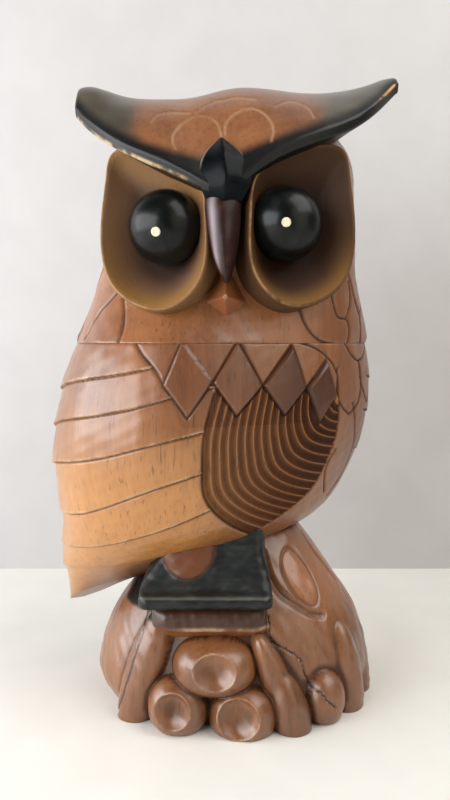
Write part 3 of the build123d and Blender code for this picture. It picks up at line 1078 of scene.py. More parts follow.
        # a pale line along the left of the lower edge: worn paint and a painted highlight
        worn = (kinds > 0.9) * smooth_step(4.5, 1.0, above) * smooth_step(-25, -50, fx)
        pale = dent(above - 9.5, 3.0) * smooth_step(118, 134, fx) * (ways < 0.3)
        masks = {
            "paint": with_tips(np.clip(paint, 0, 1)),
            "tuft": with_tips(tuft * smooth_step(1.0, 0.7, ways)),
            "scratch": with_tips(cut),
            "crest": with_tips(np.clip(worn, 0, 1)),
            "pale": with_tips(np.clip(pale, 0, 1)),
        }
        return Skin.tube(points[:, ::-1], {k: v[:, ::-1] for k, v in masks.items()})


@dataclass
class Head:
    """The head: block with neck feathers, face discs, chin and brow, sawn into three blocks."""

    zero: float = math.radians(-90)
    columns: int = 440
    rows: int = 182
    neck: float = 357.0
    top: float = 571.0
    plank_x: float = 98.0
    disc_sink: float = 24.0  # how far the shell is sunk behind the discs
    discs: tuple[FaceDisc, ...] = (
        FaceDisc(-72, 450, -18, 1),
        FaceDisc(55, 453, 18, -1, gilt=0.12, shade=0.7),
    )
    brow: Brow = field(default_factory=Brow)
    chin: Line = ((-10, 424), (-33, 393), (-9, 375), (9, 393))
    chin_back: float = -82.0
    chin_tip: float = -118.0
    # Chisel lines of the neck: length round the head, height
    quills: tuple[Line, ...] = (
        ((-98, 398), (-94, 380), (-94, 364), (-97, 355)),
        ((-104, 405), (-116, 394), (-126, 386), (-136, 374), (-146, 362)),
        ((-138, 430), (-158, 410), (-168, 385), (-178, 357)),
        ((138, 530), (149, 498), (153, 455), (150, 425)),
        ((117, 433), (132, 418), (142, 399), (152, 386)),
        ((101, 409), (107, 393), (116, 381), (126, 380), (135, 355)),
        ((68, 389), (77, 374), (93, 361), (112, 356)),
        ((126, 380), (132, 398), (128, 416)),
        ((152, 386), (168, 398), (176, 425)),
        ((152, 386), (160, 370), (162, 355)),
    )

    def skin(self) -> Skin:
        """The head before it is sawn: its shell, sunk behind the discs, with chin, brow and discs."""
        heights = np.linspace(self.neck, self.top, self.rows)
        wrap = Wrap(HEAD_SECTIONS, bearings(self.columns, self.zero, 1.2), heights, self.zero)
        bearing, height = wrap.grid()
        across = wrap.around()
        cut = np.zeros(across.shape)
        for line in self.quills:
            cut = np.maximum(cut, dent(signed_distance(smooth_line(list(line)), across, height), 2.3))
        scales, scale_cut = neck_scales(np.mod(bearing + 1.5 * math.pi, 2 * math.pi) - math.pi, height)
        behind = smooth_step(165, 185, np.abs(across))
        cut = np.maximum(cut, scale_cut * behind)
        out = scales * behind - 1.7 * cut - 0.4 * dent(height - self.neck, 1.6)
        out = out + 0.3 * ripple(across, height, 50, 2)
        # the right side of the head is darker: painted shade, away from the light
        masks = {"cut": cut, "dark": 0.35 * smooth_step(60, 120, across)}
        reach = HEAD_SECTIONS.reach(bearing, height) + out
        points = wrap.places(reach)
        for disc in self.discs:
            under = disc.covers(points[..., 0], points[..., 2]) * (points[..., 1] < 0)
            reach = reach - self.disc_sink * smooth_step(1, 16, under)
        block = Skin.tube(wrap.places(reach), masks)
        faces = [disc.skin(self.brow) for disc in self.discs]
        return Skin.joined([block, self.chin_skin(), self.brow.skin()] + faces)

    def chin_skin(self) -> Skin:
        """The chin: a four-sided point, its outline shrunk towards a tip and its edges a little soft."""
        corners = np.array(self.chin, float)
        side = np.linspace(0, 1, 14, endpoint=False)[None, :, None]
        loop = (corners[:, None] * (1 - side) + np.roll(corners, -1, axis=0)[:, None] * side).reshape(-1, 2)
        middle = corners.mean(axis=0)
        grow = np.linspace(0, 1, 24)
        size = 1.25 * (1 - grow) + 0.10 * grow
        depth = self.chin_back + (self.chin_tip - self.chin_back) * grow**0.92
        rings = middle + (loop - middle)[None] * size[:, None, None]
        for _pass in range(2):
            rings = 0.25 * np.roll(rings, 1, axis=1) + 0.5 * rings + 0.25 * np.roll(rings, -1, axis=1)
        y = np.broadcast_to(depth[:, None], rings.shape[:2])
        points = np.stack([rings[..., 0], y, rings[..., 1]], -1)
        masks = {"gold": np.full(rings.shape[:2], 0.35), "chin": np.ones(rings.shape[:2])}
        return Skin.tube(points[:, ::-1], masks)

    def build(self, finish: bpy.types.Material) -> None:
        """Builds the three blocks of the head."""
        skin = self.skin()
        low, high = (Cut((side * self.plank_x, 0, 0), (1, 0, 0)) for side in (-1, 1))
        cuts = {
            "left_tuft_plank": [low],
            "head_block": [low.flipped(), high],
            "right_tuft_plank": [high.flipped()],
        }
        for node, planes in cuts.items():
            place_piece(f"{node}_carving", skin, planes, node, finish)


def neck_scales(turn: Array, height: Array) -> tuple[Array, Array]:
    """Rows of round-ended neck feathers, each row set half a feather along from the one above.

    The foot of a feather rises with the power 2.4 of the share of the way from its middle to a seam.

    Args:
        turn: bearing from the back of the head, radians.
        height: height, mm.

    Returns:
        How far each place stands out, highest at the foot of a feather, and the cuts between them.
    """
    width, drop, rounding = 46.0, 44.0, 27.0  # of a feather, of a row, of the foot of a feather
    around = 110.0 * turn
    out = np.zeros(turn.shape)
    cut = np.zeros(turn.shape)
    for row in range(6):
        top = 384.0 + row * drop
        part = (around / width + 0.5 * (row % 2)) % 1.0
        foot = top - rounding + rounding * (2 * np.abs(part - 0.5)) ** 2.4
        above = height - foot
        here = (above >= 0) & (above < drop)
        out = np.where(here, 1.6 * (1 - above / drop), out)
        cut = np.maximum(cut, np.clip(1 - np.abs(above + 0.8) / 1.8, 0, 1))
        seam = np.minimum(part, 1 - part) * width
        cut = np.maximum(cut, dent(seam, 1.8) * ((above > -1) & (above < 26)))
    return out, cut


@dataclass(frozen=True)
class Boss:
    """The leaf between the brows: two hollow flanks that meet in a rounded ridge down the middle.

    At the share s from the ridge to an edge, the front lies back by the flank times
    1.18 * (sqrt(s^2 + 0.03) - 0.17) + 0.1 * sin(pi * |s|), and by less where the leaf is narrow.
    """

    stations: tuple[tuple[float, float, float, float], ...] = (
        (476, -11, 14, -124), (484, -11, 19, -129), (494, -10, 22, -131), (504, -11, 21.5, -129),
        (514, -12, 18, -125), (523, -13, 11, -118), (531, -14, 2, -111),
    )
    back: float = -84.0
    flank: float = 12.0
    rows: int = 60
    front_columns: int = 41
    back_columns: int = 10

    def skin(self) -> Skin:
        """The leaf as a closed skin with the mask crest on its upper edges."""
        table = np.array(self.stations, float)
        height = np.linspace(table[0, 0], table[-1, 0], self.rows)
        middle, half, ridge = natural_spline(table[:, 0], table[:, 1:], height).T
        half = np.maximum(half, 0.6)
        share = np.linspace(-1, 1, self.front_columns)
        front_x = middle[:, None] + half[:, None] * share
        hollow = 1.18 * (np.sqrt(share**2 + 0.03) - 0.17) + 0.1 * np.sin(np.pi * np.abs(share))
        front_y = ridge[:, None] + self.flank * np.clip(hollow, 0, 1.2) * (half[:, None] / 20) ** 0.5
        behind = np.linspace(1, -1, self.back_columns + 2)[1:-1]
        back_x = middle[:, None] + half[:, None] * behind * 0.9
        back_y = np.full(back_x.shape, self.back)
        x = np.concatenate([front_x, back_x], 1)
        y = np.concatenate([front_y, back_y], 1)
        points = np.stack([x, y, np.broadcast_to(height[:, None], x.shape)], -1)
        edges = np.concatenate([(np.abs(share) > 0.93) * 1.0, np.zeros(self.back_columns)])
        return Skin.tube(points, {"crest": edges * smooth_step(500, 512, height)[:, None]})

    def build(self, finish: bpy.types.Material) -> None:
        """Builds the boss."""
        place_piece("brow_boss_carving", self.skin(), [], "brow_boss", finish)


@dataclass(frozen=True)
class Beak:
    """The hooked beak: a section that narrows to the tip.

    The section reaches (|cos(a)/w|^p + |sin(a)/d|^p)^(-1/p) at the bearing a, where w and d are its
    half width and half depth and p is the power.
    """

    stations: tuple[tuple[float, float, float, float, float], ...] = (
        (484, -13, -104, 18, 14), (474, -13.5, -109, 16.5, 16), (462, -13, -111, 15.5, 17),
        (442, -12, -114, 12.5, 18), (424, -11, -117, 8.5, 14), (414, -10, -120, 4.5, 9),
        (408, -9.5, -122, 1.8, 4),
    )
    power: float = 1.75  # exponent of the section: 2 is an ellipse, less has a keel
    rows: int = 90
    columns: int = 96

    def skin(self) -> Skin:
        """The beak as a closed skin, with a mask of painted highlight down its left flank."""
        table = np.array(sorted(self.stations), float)
        height = np.linspace(table[0, 0], table[-1, 0], self.rows)
        x, y, half_width, half_depth = natural_spline(table[:, 0], table[:, 1:], height).T
        angle = np.linspace(0, 2 * math.pi, self.columns, endpoint=False)
        reach = (
            np.abs(np.cos(angle)[None] / half_width[:, None]) ** self.power
            + np.abs(np.sin(angle)[None] / half_depth[:, None]) ** self.power
        ) ** (-1 / self.power)
        points = np.stack(
            [
                x[:, None] + reach * np.cos(angle),
                y[:, None] + reach * np.sin(angle),
                np.broadcast_to(height[:, None], reach.shape),
            ],
            -1,
        )
        # painted highlight down the left flank, which faces the light
        sheen = np.exp(-(((np.degrees(angle) - 236) / 14) ** 2)) * smooth_step(410, 432, height)[:, None]
        return Skin.tube(points, {"sheen": sheen})

    def build(self, finish: bpy.types.Material) -> None:
        """Builds the beak."""
        place_piece("beak_carving", self.skin(), [], "beak", finish)


# ---- perch and rock ---------------------------------------------------------------------------
def profile_bar(profile: list[Point], span: Point, end_radius: float, count: int) -> Array:
    """A closed profile (y, z) carried across, its front pulled back in a quarter round at both ends.

    The slices crowd towards the ends. The pull is r - sqrt(r^2 - i^2) at the end radius r, where i is
    how far a slice is past the start of the rounding.

    Args:
        profile: corners of the profile in order, the far back side last.
        span: x of the two ends.
        end_radius: radius of the rounding in plan.
        count: number of slices.

    Returns:
        Points of shape (slices, profile points, 3).
    """
    corners = np.array(profile, float)
    pieces = []
    for start, end in zip(corners, np.roll(corners, -1, axis=0)):
        steps = max(2, int(np.linalg.norm(end - start) / 1.6))
        share = np.arange(steps)[:, None] / steps
        pieces.append(start * (1 - share) + end * share)
    loop = np.concatenate(pieces)
    for _pass in range(3):
        loop = 0.25 * np.roll(loop, 1, axis=0) + 0.5 * loop + 0.25 * np.roll(loop, -1, axis=0)
    turn = np.linspace(-math.pi / 2, math.pi / 2, count)
    x = 0.5 * (span[0] + span[1]) + 0.5 * (span[1] - span[0]) * np.sign(turn) * np.abs(np.sin(turn)) ** 0.8
    inset = np.maximum(0, end_radius - np.minimum(x - span[0], span[1] - x))
    pull = end_radius - np.sqrt(np.maximum(end_radius**2 - inset**2, 0))
    back = corners[:, 0].max()
    front = corners[:, 0].min()
    y = loop[None, :, 0] + pull[:, None] * (back - loop[None, :, 0]) / (back - front)
    z = np.broadcast_to(loop[None, :, 1], y.shape)
    return np.stack([np.broadcast_to(x[:, None], y.shape), y, z], -1)


@dataclass(frozen=True)
class Feet:
    """The painted feet: a bull-nosed bar of toes with a hollow slope that rises under the body."""

    slices: int = 130
    end_radius: float = 9.0
    hollow_middle: Point = (-46.0, 166.0)
    hollow_size: Point = (26.0, 29.0)
    hollow_depth: float = 7.0
    span: Point = (-91.0, 33.0)
    profile: Line = (
        (-22, 112), (-94, 112), (-98.5, 115), (-100, 119), (-98.5, 123), (-94, 126),
        (-89, 128.5), (-83, 135), (-77, 147), (-71, 164), (-62, 200), (-22, 200),
    )

    def skin(self) -> Skin:
        """The feet as a closed skin with the masks crest and bare."""
        points = profile_bar(list(self.profile), self.span, self.end_radius, self.slices)
        x, y, z = points[..., 0], points[..., 1], points[..., 2]
        # the flanks draw in as they rise, more on the left, to the leg in the middle
        rise = smooth_step(126, 165, z)
        points[..., 0] = x + rise * (20 * smooth_step(-30, -91, x) - 8 * smooth_step(-5, 33, x))
        points[..., 1] = y + 0.5 * ripple(x, z, 30, 3) * smooth_step(-40, -70, y)
        # a thin pale line along the top of the nose bar: a painted highlight
        crest = 0.55 * dent(z - 124.2, 1.2) * (y < -93)
        # the hollow of the slope: 0 in its middle, 1 on its edge
        (middle_x, middle_z), (wide, high) = self.hollow_middle, self.hollow_size
        oval = np.hypot((points[..., 0] - middle_x) / wide, (z - middle_z) / high)
        points[..., 1] -= self.hollow_depth * np.sqrt(np.clip(1 - oval**2, 0, 1)) * (y < -30)
        return Skin.tube(points, {"crest": crest, "bare": smooth_step(1.12, 0.80, oval)})

    def build(self, finish: bpy.types.Material) -> None:
        """Builds the feet, which run up into the body."""
        place_piece("talon_perch_carving", self.skin(), [], "talon_perch", finish)


@dataclass(frozen=True)
class Lump:
    """A boulder or root: a ball of a plan radius drawn out along a leaning axis."""

    middle: Triple
    radius: float
    half_height: float
    lean: float = 0.0
    squareness: float = 2.0  # exponent of its section: 2 is a ball, more has flatter faces

    def reach(self, start_x: Array, start_y: Array, bearing: Array, height: Array) -> Array:
        """Where a level ray leaves the lump: the larger root of its quadratic, or -1 where it misses.

        Args:
            start_x: x of the start of each ray.
            start_y: y of the start.
            bearing: its bearing.
            height: its height.

        Returns:
            The distance from the start of the ray to the far side of the lump.
        """
        lean = math.radians(self.lean)
        axis = np.array([math.sin(lean), 0.0, math.cos(lean)])
        side = np.array([math.cos(lean), 0.0, -math.sin(lean)])
        offset = [start_x - self.middle[0], start_y - self.middle[1], height - self.middle[2]]
        way = [np.cos(bearing), np.sin(bearing)]
        u0 = (offset[0] * side[0] + offset[2] * side[2]) / self.radius
        v0 = offset[1] / self.radius
        w0 = (offset[0] * axis[0] + offset[2] * axis[2]) / self.half_height
        u1 = way[0] * side[0] / self.radius
        v1 = way[1] / self.radius
        w1 = way[0] * axis[0] / self.half_height
        square = u1**2 + v1**2 + w1**2
        half = u0 * u1 + v0 * v1 + w0 * w1
        rest = u0**2 + v0**2 + w0**2 - 1
        root = half**2 - square * rest
        far = (-half + np.sqrt(np.maximum(root, 0))) / square
        if self.squareness == 2.0:
            return np.where(root > 0, far, -1.0)
        # a squarer lump: halve the span between its nearest inner point and a point well outside
        power = self.squareness
        inner = -half / square
        outer = inner + 2.2 * self.radius

        def fullness(way_along: Array) -> Array:
            """Below 1 inside the lump, above 1 outside."""
            return (
                np.abs(u0 + way_along * u1) ** power
                + np.abs(v0 + way_along * v1) ** power
                + np.abs(w0 + way_along * w1) ** power
            )

        met = fullness(inner) < 1
        for _halving in range(22):
            middle = 0.5 * (inner + outer)
            within = fullness(middle) < 1
            inner, outer = np.where(within, middle, inner), np.where(within, outer, middle)
        return np.where(met, inner, -1.0)

    def entry(self, start_x: Array, start_y: Array, bearing: Array, height: Array) -> Array:
        """Where a level ray first meets the lump taken as a ball: the smaller root of its quadratic.

        Args:
            start_x: x of the start of each ray.
            start_y: y of the start.
            bearing: its bearing.
            height: its height.

        Returns:
            The distance from the start of the ray, or a very long way where it misses.
        """
        offset_x, offset_y = start_x - self.middle[0], start_y - self.middle[1]
        half = offset_x * np.cos(bearing) + offset_y * np.sin(bearing)
        rest = offset_x**2 + offset_y**2 + (height - self.middle[2]) ** 2 - self.radius**2
        root = half**2 - rest
        near = -half - np.sqrt(np.maximum(root, 0))
        return np.where((root > 0) & (near > 0), near, 9999.0)


def softened(field_map: Array, width: int) -> Array:
    """A height map averaged over its neighbours, round the bearings and along the heights.

    Args:
        field_map: the map, shape (rows, columns), closed in its columns.
        width: how many neighbours to each side are averaged.

    Returns:
        The map with its small forms taken out.
    """
    result = field_map
    for _pass in range(2):
        rounds = [np.roll(result, k, axis=1) for k in range(-width, width + 1)]
        result = sum(rounds) / len(rounds)
        tall = np.pad(result, ((width, width), (0, 0)), mode="edge")
        result = sum(tall[k : k + len(result)] for k in range(2 * width + 1)) / (2 * width + 1)
    return result


@dataclass
class Rock:
    """The base: a mound with boulders, roots, a ledge, an oval relief, a drying crack and an open joint."""

    zero: float = math.radians(-90)
    columns: int = 620
    rows: int = 168
    top: float = 168.0
    softening: int = 7  # neighbours to each side that are averaged to tell what is sunk
    sunk_depth: float = 3.2  # mm under the averaged form where a place is fully dark
    joint_z: float = 102.0
    joints: Line = ((-84.0, -0.31), (30.0, 0.60))
    boulders: tuple[Lump, ...] = (
        Lump((-20, -80, 57), 40, 27, 0, 2.3), Lump((-54, -89, 21), 29, 28, 0, 2.2),
        Lump((6, -90, 15), 33, 28, 0, 2.2),
    )
    roots: tuple[Lump, ...] = (
        Lump((-87, -71, 40), 21, 70, 16), Lump((38, -92, 40), 14, 50, -22),
        Lump((50, -95, 12), 18, 44, -14), Lump((82, -76, 20), 22, 28), Lump((106, -51, 22), 20, 62, -6),
        Lump((119, -15, 20), 20, 68, -6), Lump((121, 20, 24), 20, 60, -6), Lump((106, 58, 26), 24, 38),
        Lump((70, 80, 24), 27, 34), Lump((24, 90, 28), 25, 40), Lump((-24, 92, 24), 23, 34),
        Lump((-70, 78, 28), 27, 38), Lump((-108, 48, 24), 27, 34),
    )
    gouges: tuple[Lump, ...] = (
        Lump((-21, -138, 68), 30, 30), Lump((-62, -131, 27), 25, 25), Lump((-2, -135, 23), 27, 27),
    )
    ledge_span: Point = (-80.0, 29.0)
    ledge_slices: int = 110
    ledge_radius: float = 16.0
    ledge: Line = (
        (-22, 112), (-86, 112), (-92, 106), (-94, 92), (-89, 88), (-70, 73), (-22, 73),
    )
    crack: Line = (
        (29, 99), (31, 88), (33, 79), (45, 71), (54, 66), (62, 60), (68, 46), (74, 34), (84, 20),
    )
    oval_outer: Line = ((24, 150), (31, 132), (41, 117), (57, 106), (73, 97), (88, 93))
    oval_inner: Line = (
        (43, 143), (47, 127), (59, 112), (76, 102), (85, 109), (80, 126), (67, 142), (52, 152),
    )
    ridge: Line = ((86, 158), (96, 143), (116, 126), (134, 111))

    def flank_relief(self, across: Array, height: Array) -> tuple[Array, Array, Array]:
        """The oval relief and the ridge beside it: dents along their lines and a swelling in the oval.

        Args:
            across: length round the mound from its front, mm.
            height: height, mm.

        Returns:
            How far each place stands out in mm, how dark it is, and whether it is in the oval.
        """
        outer = signed_distance(smooth_line(list(self.oval_outer)), across, height)
        loop = closed_line(list(self.oval_inner), 60)
        inner = signed_distance(np.concatenate([loop, loop[:1]]), across, height)
        in_oval = inside(loop, across, height)
        ridge = signed_distance(smooth_line(list(self.ridge)), across, height)
        cut = 0.9 * dent(outer, 4.0)
        cut = np.maximum(cut, 0.9 * dent(inner, 2.2))
        cut = np.maximum(cut, 0.8 * dent(ridge, 2.6))
        relief = -3.4 * dent(outer, 5.5) - 1.3 * dent(inner, 2.6) - 1.8 * dent(ridge, 4.0)
        relief += 1.2 * in_oval * smooth_step(0, 7, np.abs(inner))
        return relief, cut, in_oval

    def skin(self) -> Skin:
        """The rock before it is sawn.

        Its reach is that of the mound with its relief, or of a boulder or root where that reaches
        further, but no further than a gouge lets it. The crack and the open joint are cut into it.

        Returns:
            The skin with the masks cut, crest, black, paint and gold.
        """
        heights = np.concatenate([[0.0], np.linspace(0.6, self.top, self.rows - 1)])
        wrap = Wrap(MOUND_SECTIONS, bearings(self.columns, self.zero, 1.6), heights, self.zero)
        bearing, height = wrap.grid()
        across = wrap.around()
        start_x, start_y, *_rest = MOUND_SECTIONS.sizes(height)
        reach = MOUND_SECTIONS.reach(bearing, height)
        relief, cut, in_oval = self.flank_relief(across, height)
        reach = reach + relief
        for lump in (*self.boulders, *self.roots):
            far = lump.reach(start_x, start_y, bearing, height)
            reach = np.where(far > 0, soft_max(reach, far, 2.5), reach)
        worn = np.zeros(reach.shape)
        for gouge in self.gouges:
            near = gouge.entry(start_x, start_y, bearing, height)
            worn = np.maximum(worn, dent(reach - near, 1.6))
            reach = np.minimum(reach, near)
        # how far a place lies under the averaged form: these hollows get painted shade
        sunk = np.clip((softened(reach, self.softening) - reach) / self.sunk_depth, -1, 1)
        crack = signed_distance(smooth_line(list(self.crack)), across, height)
        split = dent(crack + 0.8 * ripple(across, height, 9, 4), 1.1)
        (left_x, left_lean), _right = self.joints
        gone = start_x + reach * np.cos(bearing) - left_x + left_lean * (height - self.joint_z)
        seam = dent(gone + 0.3 * ripple(across, height, 12, 7), 1.2) * (across < -60) * (across > -170)
        reach = reach - 2.6 * split - 1.6 * seam + 0.45 * ripple(across, height, 40, 8)
        reach = np.where(height < 1, reach - 0.8, reach)
        points = wrap.places(reach)
        x, y = points[..., 0], points[..., 1]
        # black paint runs down beside the feet, to a slanting line on the left
        right_of_line = smooth_step(-3, 3, x + 111 - 0.62 * (height - 100))
        beside = right_of_line * (x < -40) * smooth_step(92, 99, height) * (y < 30)
        masks = {
            # cut: the darkened chisel lines of the oval and the ridge, and painted shade in the hollows
            # between the lumps
            "cut": np.clip(np.maximum(0.7 * cut, 0.85 * smooth_step(0.12, 0.85, sunk)), 0, 1),
            "crest": 0.55 * worn,
            "black": np.maximum(split, seam),
            "paint": beside,
            "gold": 0.35 * in_oval + 0.3 * smooth_step(30, 120, across) * smooth_step(60, 130, height),
        }
        return Skin.tube(points, masks)

    def ledge_skin(self) -> Skin:
        """The rock ledge under the feet, with the masks crest on its worn lip, gold, dark and black."""
        points = profile_bar(list(self.ledge), self.ledge_span, self.ledge_radius, self.ledge_slices)
        y, z = points[..., 1], points[..., 2]
        points[..., 1] = y + 0.5 * ripple(points[..., 0], z, 34, 6)
        x = points[..., 0]
        points[..., 2] = z + 2.2 * smooth_step(-50, -78, x) * smooth_step(104, 92, z)
        crest = dent(z - 92.5, 3.2) * (y < -84) * smooth_step(-66, -40, x)
        masks = {
            "crest": 0.55 * crest,
            "gold": 0.85 * smooth_step(91, 86, z),
            # the upper face of the ledge is darker, with the dark mask and some of the crack colour
            "dark": smooth_step(91, 95, z),
            "black": 0.45 * smooth_step(93, 97, z),
        }
        return Skin.tube(points, masks)

    def build(self, finish: bpy.types.Material) -> None:
        """Builds the three blocks of the base."""
        skin = Skin.joined([self.skin(), self.ledge_skin()])
        low, high = (Cut((x, 0, self.joint_z), (1, 0, lean)) for x, lean in self.joints)
        cuts = {
            "base_left_plank": [low],
            "base_core": [low.flipped(), high],
            "base_right_plank": [high.flipped()],
        }
        for node, planes in cuts.items():
            place_piece(f"{node}_carving", skin, planes, node, finish)


# ---- shader maths -----------------------------------------------------------------------------
def colour(red: float, green: float, blue: float) -> tuple[float, float, float, float]:
    """A colour given from 0 to 255 as a painter reads it, turned into the linear values of a shader.

    A channel c from 0 to 1 becomes c / 12.92 up to 0.04045, and ((c + 0.055) / 1.055)^2.4 above it.

    Args:
        red: red, 0 to 255.
        green: green.
        blue: blue.

    Returns:
        The linear colour, with full cover.
    """
    channels = (c / 255 for c in (red, green, blue))
    linear = (c / 12.92 if c <= 0.04045 else ((c + 0.055) / 1.055) ** 2.4 for c in channels)
    return (*linear, 1.0)


@dataclass(frozen=True)
class Link:
    """A value in a shader: the socket it comes from, with the arithmetic that adds Math nodes."""

    shader: "Shader"
    socket: bpy.types.NodeSocket

    def _math(self, operation: str, *values: object, clamp: bool = False) -> "Link":
        """One Math node on the given values."""
        inputs = dict(enumerate(values))
        return self.shader.node("ShaderNodeMath", {"operation": operation, "use_clamp": clamp}, inputs)

    def __add__(self, other: object) -> "Link":
        """Sum."""
        return self._math("ADD", self, other)

    __radd__ = __add__

    def __sub__(self, other: object) -> "Link":
        """Difference."""
        return self._math("SUBTRACT", self, other)

    def __rsub__(self, other: object) -> "Link":
        """Difference from a number."""
        return self._math("SUBTRACT", other, self)

    def __mul__(self, other: object) -> "Link":
        """Product."""
        return self._math("MULTIPLY", self, other)

    def clamp(self) -> "Link":
        """Held between 0 and 1."""
        return self._math("ADD", self, 0.0, clamp=True)

    def fraction(self) -> "Link":
        """What is left of a value above its whole number."""
        return self._math("FRACT", self)

    def smaller(self, other: object) -> "Link":
        """The smaller of two values."""
        return self._math("MINIMUM", self, other)

    def ramp(self, low: float, high: float) -> "Link":
        """0 at low and 1 at high, with a smooth step between."""
        settings = {"interpolation_type": "SMOOTHSTEP"}
        inputs = {"Value": self, "From Min": low, "From Max": high}
        return self.shader.node("ShaderNodeMapRange", settings, inputs)


class Shader:
    """One material under construction."""

    def __init__(self, name: str) -> None:
        """Makes an empty material with a Principled shader on its output.

        Args:
            name: name of the material.
        """
        self.material = bpy.data.materials.new(name)
        self.material.use_nodes = True
        self.tree = self.material.node_tree
        self.tree.nodes.clear()
        self.surface = self.tree.nodes.new("ShaderNodeBsdfPrincipled")
        output = self.tree.nodes.new("ShaderNodeOutputMaterial")
        self.tree.links.new(self.surface.outputs["BSDF"], output.inputs["Surface"])

    def node(self, kind: str, settings: dict[str, object], inputs: dict, output: int | str = 0) -> Link:
        """Adds a node.

        Args:
            kind: type of the node.
            settings: its properties, set first.
            inputs: value or Link for each input, by name or number.
            output: which output is returned.

        Returns:
            The chosen output.
        """
        made = self.tree.nodes.new(kind)
        for name, value in settings.items():
            setattr(made, name, value)
        for name, value in inputs.items():
            self.set(made.inputs[name], value)
        return Link(self, made.outputs[output])

    def set(self, socket: bpy.types.NodeSocket, value: object) -> None:
        """Links a value into a socket, or sets the socket's own number."""
        if isinstance(value, Link):
            self.tree.links.new(value.socket, socket)
        else:
            socket.default_value = value

    def mask(self, name: str) -> Link:
        """A mask of the piece, 0 where it has none of that name."""
        return self.node("ShaderNodeAttribute", {"attribute_name": name}, {}, "Fac")

    def place(self, stretch: Triple = (1, 1, 1)) -> Link:
        """Object coordinates in metres, each axis multiplied by its stretch."""
        here = self.node("ShaderNodeTexCoord", {}, {}, "Object")
        return self.node("ShaderNodeVectorMath", {"operation": "MULTIPLY"}, {0: here, 1: stretch})

    def noise(
        self, scale: float, stretch: Triple, detail: float, rough: float, shift: float = 0.0
    ) -> Link:
        """Cloudy noise about 0.5, on object coordinates.

        Args:
            scale: how many clouds to a metre, roughly.
            stretch: factor on each axis, below 1 to draw the clouds out.
            detail: how many finer noises are laid over the first.
            rough: how strong the finer ones are.
            shift: how far the pattern is moved, in clouds, to part it from another one.

        Returns:
            The noise.
        """
        place = self.place(stretch)
        if shift:
            inputs = {0: place, 1: (shift, shift, shift)}
            place = self.node("ShaderNodeVectorMath", {"operation": "ADD"}, inputs)
        inputs = {"Vector": place, "Scale": scale, "Detail": detail, "Roughness": rough}
        return self.node("ShaderNodeTexNoise", {}, inputs, "Fac")

    def mix(self, share: object, first: object, second: object) -> Link:
        """Colour between two colours: the first at 0, the second at 1."""
        made = self.tree.nodes.new("ShaderNodeMix")
        made.data_type = "RGBA"
        for socket, value in ((made.inputs[0], share), (made.inputs[6], first), (made.inputs[7], second)):
            self.set(socket, value)
        return Link(self, made.outputs[2])

    def bump(self, height: Link, strength: float, distance: float) -> Link:
        """Normal bent by a relief.

        Args:
            height: height of the relief, from 0 to 1.
            strength: how much of the bend is used.
            distance: what a height of 1 stands for, in metres.

        Returns:
            The bent normal.
        """
        inputs = {"Height": height, "Strength": strength, "Distance": distance}
        return self.node("ShaderNodeBump", {}, inputs, "Normal")

    def finish(self, **sockets: object) -> bpy.types.Material:
        """Sets inputs of the Principled shader, with _ in a name for a space, and returns the material."""
        for name, value in sockets.items():
            self.set(self.surface.inputs[name.replace("_", " ")], value)
        return self.material


